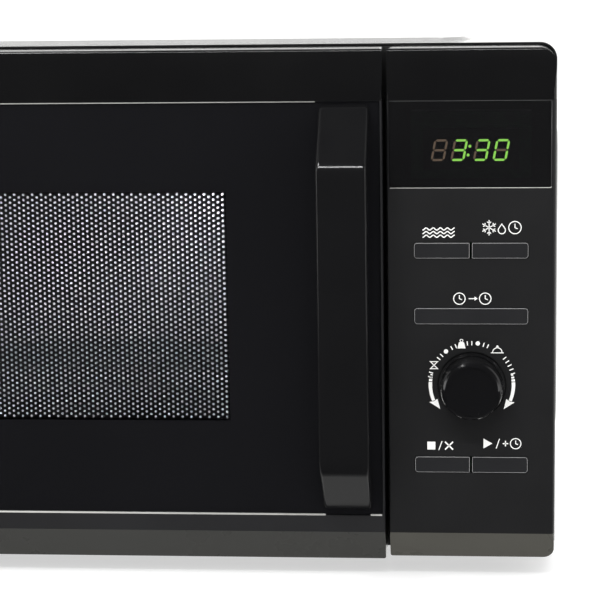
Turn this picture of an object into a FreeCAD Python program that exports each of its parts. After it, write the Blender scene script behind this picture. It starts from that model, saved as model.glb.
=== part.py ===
"""Countertop microwave oven, built as separate pieces, in millimetres.

Frame: +X to the right as the user faces the oven, +Y from the front to the back, +Z up.
The origin is on the table, at the middle of the oven's width and overall depth.
Depths are counted back from the door's front face with back(), heights up from the table.
"""
import FreeCAD
import Part
import math
import os

from FreeCAD import Vector

# ---------------------------------------------------------------- driving dimensions
WIDTH = 440.0                 # over the raised side panels of the cabinet
HEIGHT = 256.8                # table to the raised top panel
DEPTH = 356.0                 # handle to rear spacers
HANDLE_REACH = 24.0           # handle bar in front of the door face
SHEET = 0.8                   # sheet steel
FOOT_HEIGHT = 10.8
GAP = 0.3                     # between pieces that move past each other

FRONT_Y = -DEPTH / 2 + HANDLE_REACH
BACK_Y = DEPTH / 2

CABINET_HALF = 218.6          # cabinet side, without its raised panel
CABINET_TOP = 255.4
CABINET_RADIUS = 8.0
PLATE_D = 32.0                # depth of the front plate's face
PLATE_Z = (12.2, CABINET_TOP - 1.2)
REAR_D = 326.0                # depth of the rear panel

FASCIA_HALF = 217.5           # outer edge of door and control panel
FASCIA_BOTTOM = 10.5
FASCIA_TOP = 254.4
DOOR_BOTTOM = 9.0
DOOR_RIGHT = 136.9
PANEL_LEFT = 139.1
RAIL_LINE = 230.4             # under the top rail, where glass and display lens begin
GLASS_BOTTOM = 31.7
BEVEL_TOP = 23.6              # over the bottom bevel
BEVEL_DEPTH = 5.0
FASCIA_REAR = 30.0            # depth of the door frame's rear edge

CAVITY_X = (-196.0, 110.0)
CAVITY_Z = (30.0, 236.0)
CAVITY_REAR = 324.0
CAVITY_RADIUS = 9.0
CENTRE_X = sum(CAVITY_X) / 2
CENTRE_D = (PLATE_D + CAVITY_REAR) / 2

PIN_X, PIN_D, PIN_R = -211.5, 24.0, 2.2
HINGE_ROUND = 6.0             # the door's corner turns about the pin inside this radius

LATCH_X = (123.5, 128.5)
BEAK = 3.4                    # drop of a hook's beak behind the front plate
HOOK_BASES = (70.0, 186.0)    # underside of the lower and the upper hook arm
HOOK_TIP_D = 49.0

KNOB_X, KNOB_Z = 178.4, 95.9
KNOB_R = 14.3
BUTTON_TRAVEL = 0.8
BUTTON_ROWS = {"upper": (156.6, 164.0), "middle": (125.3, 133.0), "lower": (53.5, 61.2)}
BUTTON_ROOM = 0.25            # round the keys
BUTTON_FRONT = -0.5           # the keys stand a little proud of the panel
BUTTON_LEFT = (151.4, 177.4)
BUTTON_RIGHT = (178.5, 204.8)
PCB_D = 15.0

SLOT_WIDTH, SLOT_HEIGHT, SLOT_PITCH = 3.0, 22.0, 7.0

TRAY_R = 127.5
ROLLER_R, ROLLER_TRACK = 7.4, 95.0
ROLLER_Z = CAVITY_Z[0] + 0.2 + ROLLER_R
TRAY_Z = ROLLER_Z + ROLLER_R + GAP

FAN_X, FAN_Z, FAN_R = 163.0, 150.0, 43.0
MAG_X, MAG_D = 163.0, 165.0

os.makedirs("parts", exist_ok=True)


# ---------------------------------------------------------------- helpers
def back(d):
    """Y of a depth d behind the door's front face."""
    return FRONT_Y + d


def save(name, *shapes):
    """Writes one node. Several shapes stay separate solids of that node."""
    shape = shapes[0] if len(shapes) == 1 else Part.makeCompound(list(shapes))
    solids = shape.Solids
    if not solids or not all(s.isValid() and s.Volume > 0 for s in solids):
        raise ValueError("node " + name + " is not made of valid solids")
    shape.exportStep("parts/" + name + ".step")
    print("%-26s %2d solid  %9.1f mm3" % (name, len(solids), sum(s.Volume for s in solids)))


def block(x, d, z):
    """Box from its ranges in X, depth and Z."""
    corner = Vector(x[0], back(d[0]), z[0])
    return Part.makeBox(x[1] - x[0], d[1] - d[0], z[1] - z[0], corner)


def rod(x, d, z, r, length, axis=(0, 0, 1)):
    return Part.makeCylinder(r, length, Vector(x, back(d), z), Vector(*axis))


def tube(x, d, z, r, hole, length, axis=(0, 0, 1)):
    return rod(x, d, z, r, length, axis).cut(rod(x, d, z, hole, length, axis))


def fuse(shapes):
    first, rest = shapes[0], list(shapes[1:])
    return first.fuse(rest).removeSplitter() if rest else first


def wire_of(points):
    """Closed wire. A point may be ('arc', middle, end), which bends the edge that reaches end."""
    edges = []
    start = points[0]
    for p in list(points[1:]) + [points[0]]:
        if p[0] == "arc":
            edges.append(Part.Arc(start, p[1], p[2]).toShape())
            start = p[2]
        else:
            if (p - start).Length > 1e-7:
                edges.append(Part.LineSegment(start, p).toShape())
            start = p
    return Part.Wire(edges)


def eased(corners):
    """Outline of (u, v, radius) corners, each rounded by a tangent arc of its radius."""
    outline = []
    count = len(corners)
    for i, (u, v, radius) in enumerate(corners):
        here = Vector(u, v, 0)
        if radius <= 0:
            outline.append((u, v))
            continue
        before = Vector(*corners[i - 1][:2], 0) - here
        after = Vector(*corners[(i + 1) % count][:2], 0) - here
        before.normalize()
        after.normalize()
        half = before.getAngle(after) / 2
        middle = before + after
        middle.normalize()
        start = here + before * (radius / math.tan(half))
        end = here + after * (radius / math.tan(half))
        top = here + middle * (radius / math.sin(half) - radius)
        outline.append((start.x, start.y))
        outline.append(("arc", (top.x, top.y), (end.x, end.y)))
    return outline


def rounded(u, v, radii, place):
    """Points of a rectangle u by v with corner radii (low-low, high-low, high-high, low-high)."""
    k = 1 - math.sqrt(0.5)
    a, b, c, e = radii
    (u0, u1), (v0, v1) = u, v
    points = [place(u0 + a, v0)]
    corners = (
        (b, (u1 - b, v0), (u1 - b * k, v0 + b * k), (u1, v0 + b)),
        (c, (u1, v1 - c), (u1 - c * k, v1 - c * k), (u1 - c, v1)),
        (e, (u0 + e, v1), (u0 + e * k, v1 - e * k), (u0, v1 - e)),
        (a, (u0, v0 + a), (u0 + a * k, v0 + a * k), (u0 + a, v0)),
    )
    for r, start, middle, end in corners:
        points.append(place(*start))
        if r > 0:
            points.append(("arc", place(*middle), place(*end)))
    return points


def slab(x, z, d, radii=0.0):
    """Plate seen from the front: rounded rectangle x by z, from depth d[0] to d[1]."""
    radii = (radii,) * 4 if isinstance(radii, float) else radii
    wire = wire_of(rounded(x, z, radii, lambda u, v: Vector(u, back(d[0]), v)))
    return Part.Face(wire).extrude(Vector(0, d[1] - d[0], 0))


def along_x(points, x):
    """Solid with a profile of (depth, z) points, or ('arc', middle, end), from x[0] to x[1]."""
    def place(p):
        if p[0] == "arc":
            return ("arc", place(p[1]), place(p[2]))
        return Vector(x[0], back(p[0]), p[1])
    return Part.Face(wire_of([place(p) for p in points])).extrude(Vector(x[1] - x[0], 0, 0))


def spun(points, centre, axis):
    """Solid of revolution of (radius, height) points about an axis through centre."""
    flat = [Vector(r, 0, h) for r, h in points]
    edges = [Part.LineSegment(a, b).toShape() for a, b in zip(flat, flat[1:] + flat[:1])]
    solid = Part.Face(Part.Wire(edges)).revolve(Vector(0, 0, 0), Vector(0, 0, 1), 360)
    solid = Part.Solid(solid) if solid.ShapeType != "Solid" else solid
    solid.Placement = FreeCAD.Placement(centre, FreeCAD.Rotation(Vector(0, 0, 1), Vector(*axis)))
    return solid


def turned(shape, degrees, centre_x, centre_d):
    """Copy of a shape turned about the vertical axis through a point."""
    copy = shape.copy()
    copy.rotate(Vector(centre_x, back(centre_d), 0), Vector(0, 0, 1), degrees)
    return copy


def softened(shape, radius, wanted):
    """The shape with its edges that wanted() picks rounded, or a smaller round if that fails."""
    edges = [e for e in shape.Edges if wanted(e)]
    for r in (radius, radius * 0.6, radius * 0.3):
        try:
            made = shape.makeFillet(r, edges)
        except Exception:
            continue
        if made.isValid() and made.Volume > 0:
            return made
    print("no rounding of", radius, "on", len(edges), "edges")
    return shape


def front_edge(depth, reach=0.01):
    """Picks edges that lie wholly within reach of one depth."""
    y = back(depth)
    return lambda e: abs(e.BoundBox.YMin - y) < reach and abs(e.BoundBox.YMax - y) < reach


def screw(x, d, z, axis, head_r=3.4, head=1.8, shank_r=1.6, shank=8.0):
    """Pan-head screw whose head stands on a surface at the given point; axis points out."""
    top = rod(x, d, z, head_r, head, axis)
    top = softened(top, head * 0.5, lambda e: e.Closed and (e.CenterOfMass - Vector(
        x + axis[0] * head, back(d) + axis[1] * head, z + axis[2] * head)).Length < 0.01)
    away = tuple(-a for a in axis)
    slot_depth = head * 0.5
    at = Vector(x, back(d), z) + Vector(*axis) * (head - slot_depth)
    cross = [Part.makeBox(head_r * 1.2, 0.9, slot_depth + 1), Part.makeBox(0.9, head_r * 1.2, slot_depth + 1)]
    for i, bar in enumerate(cross):
        size = (head_r * 1.2, 0.9) if i == 0 else (0.9, head_r * 1.2)
        bar.translate(Vector(-size[0] / 2, -size[1] / 2, 0))
        bar.Placement = FreeCAD.Placement(at, FreeCAD.Rotation(Vector(0, 0, 1), Vector(*axis))).multiply(
            bar.Placement)
        top = top.cut(bar)
    return top.fuse(rod(x, d, z, shank_r, shank, away)).removeSplitter()


def side_slots(sign, first_d, z, count):
    """Row of upright vent slots through the cabinet's left (-1) or right (1) side."""
    x = (sign * CABINET_HALF - 2.0, sign * CABINET_HALF + 2.0)
    starts = [first_d + i * SLOT_PITCH for i in range(count)]
    return [block(x, (d - SLOT_WIDTH / 2, d + SLOT_WIDTH / 2), (z, z + SLOT_HEIGHT)) for d in starts]


# ---------------------------------------------------------------- fascia outline
def fascia_profile(bottom):
    """Side outline of door and control panel: convex top rail, flat face, bottom bevel."""
    curve = 65.0
    edge = 1.8
    top_start = FASCIA_TOP - edge

    def setback(z):
        return curve - math.sqrt(curve ** 2 - (z - RAIL_LINE) ** 2)

    middle = (RAIL_LINE + top_start) / 2
    return [
        (FASCIA_REAR, bottom),
        (BEVEL_DEPTH, bottom),
        (0.0, BEVEL_TOP),
        (0.0, RAIL_LINE),
        ("arc", (setback(middle), middle), (setback(top_start), top_start)),
        ("arc", (setback(top_start) + 0.3 * edge, FASCIA_TOP - 0.3 * edge),
         (setback(top_start) + 1.1 * edge, FASCIA_TOP)),
        (FASCIA_REAR, FASCIA_TOP),
    ]


# ---------------------------------------------------------------- casing
def cabinet_form(inset, front, rear):
    """Outer form of the wrap-around cabinet, moved inwards by inset."""
    half, top = CABINET_HALF - inset, CABINET_TOP - inset
    r = CABINET_RADIUS - inset
    form = slab((-half, half), (-20.0, top), (front, rear), (0.0, 0.0, r, r))
    slope = 6.0

    def raised(low, high, wide, place):
        """Loft between the foot and the top of one raised panel."""
        wires = []
        for level, grow in ((low, slope), (high, 0.0)):
            u = (wide[0][0] - grow, wide[0][1] + grow)
            v = (wide[1][0] - grow, wide[1][1] + grow)
            wires.append(wire_of(rounded(u, v, (12.0 + grow,) * 4, lambda a, b: place(a, b, level))))
        return Part.makeLoft(wires, True)

    side_rise = WIDTH / 2 - CABINET_HALF
    top_rise = HEIGHT - CABINET_TOP
    side = ((60.0, 300.0), (62.0, 211.0))
    over = ((-174.0, 174.0), (58.0, 302.0))
    for s in (-1, 1):
        form = form.fuse(raised(half - 0.5, half + side_rise, side,
                                lambda a, b, level: Vector(s * level, back(a), b)))
    form = form.fuse(raised(top - 0.5, top + top_rise, over,
                            lambda a, b, level: Vector(a, back(b), level)))
    return form.removeSplitter()


def make_cabinet():
    shell = cabinet_form(0.0, PLATE_D, REAR_D + 2 * SHEET).cut(cabinet_form(SHEET, 0.0, REAR_D + SHEET))
    shell = shell.cut(block((-300.0, 300.0), (0.0, 400.0), (-40.0, FOOT_HEIGHT)))
    flange = 11.0
    window = slab((-CABINET_HALF + flange, CABINET_HALF - flange), (-20.0, CABINET_TOP - flange),
                  (REAR_D, REAR_D + 5.0), (0.0, 0.0, 4.0, 4.0))
    shell = shell.cut(window)

    cuts = []
    for z in (78.0, 108.0, 138.0):
        cuts += side_slots(1, 222.0, z, 10)
    cuts += side_slots(-1, 90.0, 168.0, 12)
    shell = shell.cut(cuts)
    holes = [rod(x, REAR_D - 1.0, z, 1.9, 6.0, (0, 1, 0)) for x, z in CABINET_SCREWS]
    save("cabinet", shell.cut(holes))


CABINET_SCREWS = [(s * 213.2, z) for s in (-1, 1) for z in (40.0, 128.0, 215.0)] + [
    (x, 249.6) for x in (-130.0, 0.0, 130.0)]
REAR_VENT = (FAN_X, FAN_Z)
GLAND_X, GLAND_Z, GLAND_R = 190.0, 46.0, 8.0


def make_rear_panel():
    plate = slab((-217.4, 217.4), PLATE_Z, (REAR_D, REAR_D + SHEET), (1.0, 1.0, 6.8, 6.8))
    cuts = []
    for row in range(-4, 5):
        for column in range(-4, 5):
            x = REAR_VENT[0] + column * 9.0 + (4.5 if row % 2 else 0.0)
            z = REAR_VENT[1] + row * 7.8
            if math.hypot(x - REAR_VENT[0], z - REAR_VENT[1]) < 37.0:
                cuts.append(rod(x, REAR_D - 1, z, 3.0, 4.0, (0, 1, 0)))
    for i in range(14):
        x = -170.0 + 7.5 * i
        cuts.append(slab((x, x + 3.2), (190.0, 216.0), (REAR_D - 1, REAR_D + 3), 1.59))
    cuts.append(rod(GLAND_X, REAR_D - 1, GLAND_Z, GLAND_R, 4.0, (0, 1, 0)))
    cuts += [rod(x, REAR_D - 1, z, 1.4, 4.0, (0, 1, 0)) for x, z in CABINET_SCREWS]
    save("rear_panel", plate.cut(cuts))


def make_rear_spacers():
    """Two plastic buffers that keep the oven off the wall."""
    made = []
    for x in (-120.0, 80.0):
        pad = slab((x, x + 46.0), (118.0, 136.0), (REAR_D + SHEET, back_depth(BACK_Y)), 5.0)
        made.append(softened(pad, 2.0, front_edge(back_depth(BACK_Y))))
    save("rear_spacers", *made)


def back_depth(y):
    return y - FRONT_Y


FEET = [(x, d) for x in (-172.0, 172.0) for d in (72.0, 292.0)]


def make_base_plate():
    z = (FOOT_HEIGHT, FOOT_HEIGHT + 1.0)
    front = PLATE_D + 0.9
    lip_drop = 3.6
    plate = block((-217.4, 217.4), (front, REAR_D - 0.2), z)
    plate = plate.fuse(block((-209.0, 209.0), (front, front + 1.0), (FOOT_HEIGHT - lip_drop, z[1])))
    for s in (-1, 1):
        x = (216.6, 217.4) if s > 0 else (-217.4, -216.6)
        plate = plate.fuse(block(x, (PLATE_D + 14.0, REAR_D - 14.0), (z[0], 25.0)))
    cuts = [rod(x, d, 5.0, 2.6, 12.0) for x, d in FEET]
    for row in range(3):
        for i in range(9):
            x = 125.0 + i * 9.0
            cuts.append(block((x, x + 4.0), (152.0 + row * 24, 170.0 + row * 24), (5.0, 14.0)))
    cuts.append(tube(CENTRE_X, CENTRE_D, 5.0, 32.0, 30.5, 12.0).cut(
        block((CENTRE_X - 4, CENTRE_X + 4), (CENTRE_D - 40, CENTRE_D + 40), (0.0, 20.0))))
    save("base_plate", plate.removeSplitter().cut(cuts))


def make_feet():
    made = []
    for x, d in FEET:
        pad = spun([(0, 0), (9.5, 0), (11.0, 1.2), (12.0, FOOT_HEIGHT), (0, FOOT_HEIGHT)],
                   Vector(x, back(d), 0), (0, 0, 1))
        tip = Vector(x, back(d), FOOT_HEIGHT + 1.05)
        barb = spun([(0, 0), (3.6, 0), (2.0, 3.0), (0, 3.0)], tip, (0, 0, 1))
        made.append(fuse([pad, rod(x, d, FOOT_HEIGHT, 2.5, 4.0), barb]))
    save("feet", *made)


def make_screws():
    made = [screw(x, REAR_D + 2 * SHEET, z, (0, 1, 0), shank=7.0, shank_r=1.35) for x, z in CABINET_SCREWS]
    save("cabinet_screws", *made)


# ---------------------------------------------------------------- cavity
def make_front_plate():
    plate = slab((-217.4, 144.0), PLATE_Z, (PLATE_D, PLATE_D + SHEET), (0.0, 0.0, 0.0, 6.8))
    for z in ((PLATE_Z[0], PLATE_Z[0] + SHEET), (PLATE_Z[1] - SHEET, PLATE_Z[1])):
        plate = plate.fuse(block((-209.0, 144.0), (PLATE_D, PLATE_D + 12.0), z))
    opening = slab(CAVITY_X, CAVITY_Z, (0.0, 60.0), CAVITY_RADIUS)
    cuts = [opening]
    for z in HOOK_BASES:
        cuts.append(block((LATCH_X[0] - 3, LATCH_X[1] + 3), (0.0, 60.0), (z - BEAK - 0.6, z + 12.0)))
    for z in (HINGE_UPPER, HINGE_LOWER):
        cuts.append(block((-216.9, -206.1), (0.0, 60.0), (z[0] - 0.2, z[1] + 0.2)))
    save("front_plate", plate.removeSplitter().cut(cuts))


HINGE_UPPER = (247.5, 249.5)
HINGE_LOWER = (16.0, 18.0)


def make_cavity():
    depth = (PLATE_D + SHEET, CAVITY_REAR)
    grow = (CAVITY_X[0] - SHEET, CAVITY_X[1] + SHEET), (CAVITY_Z[0] - SHEET, CAVITY_Z[1] + SHEET)
    box = slab(grow[0], grow[1], (depth[0], depth[1] + SHEET), CAVITY_RADIUS + SHEET)
    box = box.cut(slab(CAVITY_X, CAVITY_Z, (0.0, depth[1]), CAVITY_RADIUS))
    right, left = CAVITY_X[1], CAVITY_X[0]
    cuts = [block((right - 2, right + 4), WAVE_WINDOW[0], WAVE_WINDOW[1])]
    cuts.append(rod(CENTRE_X, CENTRE_D, 20.0, 6.0, 20.0))
    for i in range(4):
        for j in range(4):
            cuts.append(rod(right - 2, 232.0 + 6 * i, 196.0 + 6 * j, 2.0, 6.0, (1, 0, 0)))
    for i in range(9):
        for j in range(3):
            cuts.append(rod(left - 4, 96.0 + 7 * i, 204.0 + 7 * j, 2.2, 8.0, (1, 0, 0)))
    save("cavity_box", box.cut(cuts))


WAVE_WINDOW = ((138.0, 192.0), (196.0, 222.0))


def make_waveguide():
    d, z = (125.0, 205.0), (190.0, 228.0)
    outer = block((CAVITY_X[1] + SHEET, 206.0), d, z)
    inside_d, inside_z = (d[0] + SHEET, d[1] - SHEET), (z[0] + SHEET, z[1] - SHEET)
    inner = block((CAVITY_X[1] - 1, 206.0 - SHEET), inside_d, inside_z)
    body = outer.cut([inner, rod(MAG_X, MAG_D, 180.0, 10.0, 20.0)])
    flange = block((CAVITY_X[1] + SHEET, CAVITY_X[1] + 2 * SHEET), (117.0, 213.0), (183.0, 234.0)).cut(
        block((CAVITY_X[1], CAVITY_X[1] + 5), d, z))
    save("waveguide", body.fuse(flange).removeSplitter())
    cover = block((CAVITY_X[1] - 0.6, CAVITY_X[1]), (128.0, 202.0), (187.0, 227.0))
    save("waveguide_cover", cover)


def make_lamp():
    x = CAVITY_X[1] + SHEET
    bracket = block((x, x + 1.2), (222.0, 262.0), (186.0, 228.0)).cut(
        block((x - 1, x + 3), (228.0, 254.0), (192.0, 218.0)))
    shelf = block((x + 1.2, x + 26.0), (222.0, 262.0), (186.0, 187.2))
    socket = tube(x + 14.0, 241.0, 187.2, 9.0, 6.8, 6.5)
    save("lamp_socket", fuse([bracket, shelf, socket]))
    bulb = spun([(0, 0), (6.6, 0), (6.6, 7.0), (7.4, 9.0), (9.6, 14.0), (10.4, 19.0), (9.6, 24.0),
                 (7.0, 28.0), (3.5, 30.2), (0, 31.0)], Vector(x + 14.0, back(241.0), 187.25), (0, 0, 1))
    save("oven_lamp", bulb)


# ---------------------------------------------------------------- microwave power parts
def make_magnetron():
    x, d, top = MAG_X, MAG_D, 190.0
    yoke = block((x - 40, x + 40), (d - 28, d + 28), (128.0, top)).cut(
        block((x - 38.4, x + 38.4), (d - 30, d + 30), (129.6, top - 1.6)))
    yoke = yoke.cut([rod(x, d, top - 5, 9.9, 10.0), rod(x, d, 125.0, 9.9, 10.0)])
    fins = [block((x - 34, x + 34), (d - 26, d + 26), (142.0 + 5.6 * i, 142.6 + 5.6 * i)).cut(
        rod(x, d, 130.0, 20.0, 60.0)) for i in range(6)]
    magnets = [tube(x, d, z, 27.0, 10.2, 10.0) for z in (129.8, 178.2)]
    antenna = spun([(0, 0), (9.6, 0), (9.6, 18.0), (7.4, 18.0), (7.4, 34.0), (5.5, 37.0), (0, 37.0)],
                   Vector(x, back(d), 178.2), (0, 0, 1))
    save("magnetron_core", rod(x, d, 140.0, 20.0, 38.0), antenna, *(fins + magnets))
    box = block((x - 32, x + 32), (d - 24, d + 24), (96.0, 127.8)).cut(
        block((x - 31.2, x + 31.2), (d - 23.2, d + 23.2), (96.8, 140.0)))
    box = box.cut([rod(x - 20 + 5 * i, d - 30, 104.0 + 6 * j, 1.6, 60.0, (0, 1, 0))
                   for i in range(9) for j in range(3)])
    save("magnetron_casing", yoke, box)


def make_transformer():
    x, d, z = (120.0, 204.0), (92.0, 147.0), (FOOT_HEIGHT + 1.2, FOOT_HEIGHT + 67.2)
    core = block(x, d, z)
    windows = [block((x[0] + a, x[0] + a + 14), (d[0] - 1, d[1] + 1), (z[0] + 14, z[0] + 52))
               for a in (14, 56)]
    foot = block((x[0] - 5, x[1] + 5), (d[0] + 10, d[1] - 10), (z[0], z[0] + 2.0))
    save("transformer_core", core.cut(windows).fuse(foot).removeSplitter())
    leg = block((x[0] + 28, x[0] + 56), d, (0.0, 200.0))
    windings = []
    for low, high in ((14.6, 31.0), (33.0, 51.4)):
        ring = block((x[0] + 14.4, x[1] - 14.4), (d[0] - 12, d[1] + 12), (z[0] + low, z[0] + high))
        ring = softened(ring, 8.0, lambda e: abs(e.BoundBox.ZLength - (high - low)) < 0.01)
        windings.append(ring.cut(leg))
    save("transformer_windings", *windings)


def make_capacitor():
    x, d, z = (118.0, 170.0), (178.0, 262.0), (FOOT_HEIGHT + 2.4, FOOT_HEIGHT + 36.4)
    can = slab(x, z, d, 16.9)
    can = softened(can, 2.0, front_edge(d[0]))
    tabs = [block((a, a + 6.3), (d[0] - 12, d[0] + 1), (z[1] - 18, z[1] - 17.2)) for a in (130.0, 150.0)]
    save("hv_capacitor", fuse([can] + tabs))
    strap = slab((x[0] - 1, x[1] + 1), (z[0] - 1, z[1] + 1), (200.0, 214.0), 17.9).cut(
        slab(x, z, (199.0, 215.0), 16.9))
    foot = block((x[1] + 0.5, x[1] + 14.0), (200.0, 214.0), (z[0] + 15.0, z[0] + 16.2))
    leg = block((x[1] + 12.8, x[1] + 14.0), (200.0, 214.0), (FOOT_HEIGHT + 1.0, z[0] + 16.2))
    save("capacitor_clamp", fuse([strap, foot, leg]))
    body = rod(192.0, 176.0, FOOT_HEIGHT + 7.0, 3.8, 20.0, (0, 1, 0))
    lug = block((188.0, 196.0), (196.0, 210.0), (FOOT_HEIGHT + 6.4, FOOT_HEIGHT + 7.6)).cut(
        rod(192.0, 204.0, 0.0, 2.1, 40.0))
    save("hv_diode", body.fuse(lug).removeSplitter())


def make_fan():
    x, z = FAN_X, FAN_Z
    shroud = slab((x - 50, x + 50), (z - 50, z + 50), (318.0, 319.6), 6.0).fuse(
        rod(x, 296.0, z, FAN_R + 4.0, 23.6, (0, 1, 0)))
    shroud = shroud.cut(rod(x, 290.0, z, FAN_R + 2.0, 40.0, (0, 1, 0)))
    arms = []
    for angle in (45, 135, 225, 315):
        c, s = math.cos(math.radians(angle)), math.sin(math.radians(angle))
        arm = Part.makeBox(FAN_R + 4.5 - 16.0, 1.6, 7.0, Vector(16.0, -0.8, -3.5))
        arm.Placement = FreeCAD.Placement(Vector(x, back(293.0), z), FreeCAD.Rotation(
            Vector(c, 0, s), Vector(0, 1, 0), Vector(-s, 0, c), "XYZ"))
        arms.append(arm)
    ring = tube(x, 292.2, z, 18.0, 10.5, 1.6, (0, 1, 0))
    pillars = []
    for angle in (45, 135, 225, 315):
        reach = FAN_R + 3.0
        c, s = math.cos(math.radians(angle)), math.sin(math.radians(angle))
        pillars.append(rod(x + reach * c, 292.2, z + reach * s, 1.0, 5.0, (0, 1, 0)))
    save("fan_housing", fuse([shroud, ring] + arms + pillars))
    stack = slab((x - 27, x + 27), (z - 24, z + 24), (268.0, 284.0), 3.0).cut(
        [rod(x, 260.0, z, 10.4, 40.0, (0, 1, 0)),
         block((x - 18, x - 10), (260.0, 290.0), (z - 17, z - 10)),
         block((x + 10, x + 18), (260.0, 290.0), (z - 17, z - 10))])
    coil = block((x - 9.6, x + 9.6), (262.0, 290.0), (z - 40, z - 24.2))
    bearings = [tube(x, d, z, r, 3.05, 1.4, (0, 1, 0)) for d, r in ((284.2, 17.0), (266.4, 14.0))]
    save("fan_motor_core", stack, *bearings)
    save("fan_motor_coil", softened(coil, 4.0, lambda e: e.BoundBox.XLength > 19))
    rotor = rod(x, 262.0, z, 3.0, 42.0, (0, 1, 0)).fuse(rod(x, 269.0, z, 9.8, 14.0, (0, 1, 0)))
    save("fan_shaft", rotor.removeSplitter())
    hub = rod(x, 300.0, z, 11.0, 15.0, (0, 1, 0)).cut(rod(x, 299.0, z, 3.0, 5.0, (0, 1, 0)))
    blades = []
    count = 7
    for i in range(count):
        blade = Part.makeBox(FAN_R - 10.0, 1.4, 24.0, Vector(10.0, -0.7, -12.0))
        blade.rotate(Vector(0, 0, 0), Vector(1, 0, 0), 52)
        blade.Placement = FreeCAD.Placement(Vector(x, back(307.5), z), FreeCAD.Rotation(
            Vector(0, 1, 0), 360.0 / count * i)).multiply(blade.Placement)
        blades.append(blade)
    ring = rod(x, 298.5, z, FAN_R, 18.0, (0, 1, 0))
    save("fan_blade", fuse([hub] + [b.common(ring) for b in blades]))


# ---------------------------------------------------------------- turntable
def make_turntable():
    x, d = CENTRE_X, CENTRE_D
    floor = CAVITY_Z[0]
    motor = rod(x, d, 13.2, 24.5, 15.8).cut(rod(x, d, 20.0, 3.8, 20.0))
    ears = block((x - 34, x + 34), (d - 6, d + 6), (28.0, 29.0)).cut(rod(x, d, 20.0, 20.0, 20.0))
    save("turntable_motor", motor.fuse(ears).removeSplitter())
    shaft = rod(x, d, 20.5, 3.5, 21.5).cut(block((x + 2.4, x + 5), (d - 5, d + 5), (31.0, 50.0)))
    save("turntable_shaft", shaft)
    hub = rod(x, d, floor + 1.2, 10.0, TRAY_Z - GAP - floor - 1.2)
    arm = block((x, x + 19.0), (d - 3.0, d + 3.0), (floor + 6.0, TRAY_Z - GAP))
    arms = [turned(arm, a, x, d) for a in (90, 210, 330)]
    coupler = fuse([hub] + arms).cut(rod(x, d, floor, 3.52, 12.6))
    save("turntable_coupler", coupler)
    z = TRAY_Z
    dish = [(0, z), (113.0, z), (TRAY_R - 1.5, z + 11.0), (TRAY_R, z + 12.4), (TRAY_R - 0.6, z + 13.4),
            (TRAY_R - 2.4, z + 13.0), (112.0, z + 4.2), (0, z + 4.2)]
    tray = spun(dish, Vector(x, back(d), 0), (0, 0, 1))
    lug = rod(x + 15.0, d, z - 4.6, 3.6, 6.0)
    lugs = [turned(lug, a, x, d) for a in (90 + 52, 210 + 52, 330 + 52)]
    save("glass_tray", fuse([tray] + lugs))


def make_roller_ring():
    x, d = CENTRE_X, CENTRE_D
    ring = tube(x, d, ROLLER_Z - 2.6, 84.0, 77.0, 5.2)
    pieces = [ring]
    for a in ROLLER_ANGLES:
        c, s = math.cos(math.radians(a)), math.sin(math.radians(a))
        pieces.append(rod(x + 82 * c, d + 82 * s, ROLLER_Z, 2.0, ROLLER_TRACK - 82 + 7.2, (c, s, 0)))
        end = ROLLER_TRACK + 5
        pieces.append(rod(x + end * c, d + end * s, ROLLER_Z, 3.2, 1.6, (c, s, 0)))
        pieces.append(rod(x + 82 * c, d + 82 * s, ROLLER_Z, 3.4, 7.0, (c, s, 0)))
    save("roller_ring", fuse(pieces))
    for number, a in enumerate(ROLLER_ANGLES, 1):
        c, s = math.cos(math.radians(a)), math.sin(math.radians(a))
        start = ROLLER_TRACK - 4.2
        profile = [(2.06, 0), (6.6, 0), (ROLLER_R, 0.8), (ROLLER_R, 7.6), (6.6, 8.4), (2.06, 8.4)]
        wheel = spun(profile, Vector(x + start * c, back(d) + start * s, ROLLER_Z), (c, s, 0))
        save("roller_%d" % number, wheel)


ROLLER_ANGLES = (30, 150, 270)


# ---------------------------------------------------------------- hinges and interlock
def make_hinges():
    hinges = []
    side = (PIN_X - 5.0, PIN_X + 5.0)
    places = (
        (HINGE_UPPER, (HINGE_UPPER[0] - 22.0, HINGE_UPPER[1]), (HINGE_UPPER[0] - 8.6, HINGE_UPPER[1])),
        (HINGE_LOWER, (HINGE_LOWER[0], HINGE_LOWER[1] + 22.0), (HINGE_LOWER[0], HINGE_LOWER[0] + 10.6)),
    )
    for z, flange_z, pin_z in places:
        nose = rod(PIN_X, PIN_D, z[0], 5.0, z[1] - z[0])
        arm = block(side, (PIN_D, PLATE_D + 2.2), z)
        flange = block(side, (PLATE_D + SHEET, PLATE_D + 2.2), flange_z)
        stub = rod(PIN_X, PIN_D, pin_z[0], PIN_R, pin_z[1] - pin_z[0])
        hinges.append(fuse([nose, arm, flange, stub]))
    save("hinge_brackets", *hinges)


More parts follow.
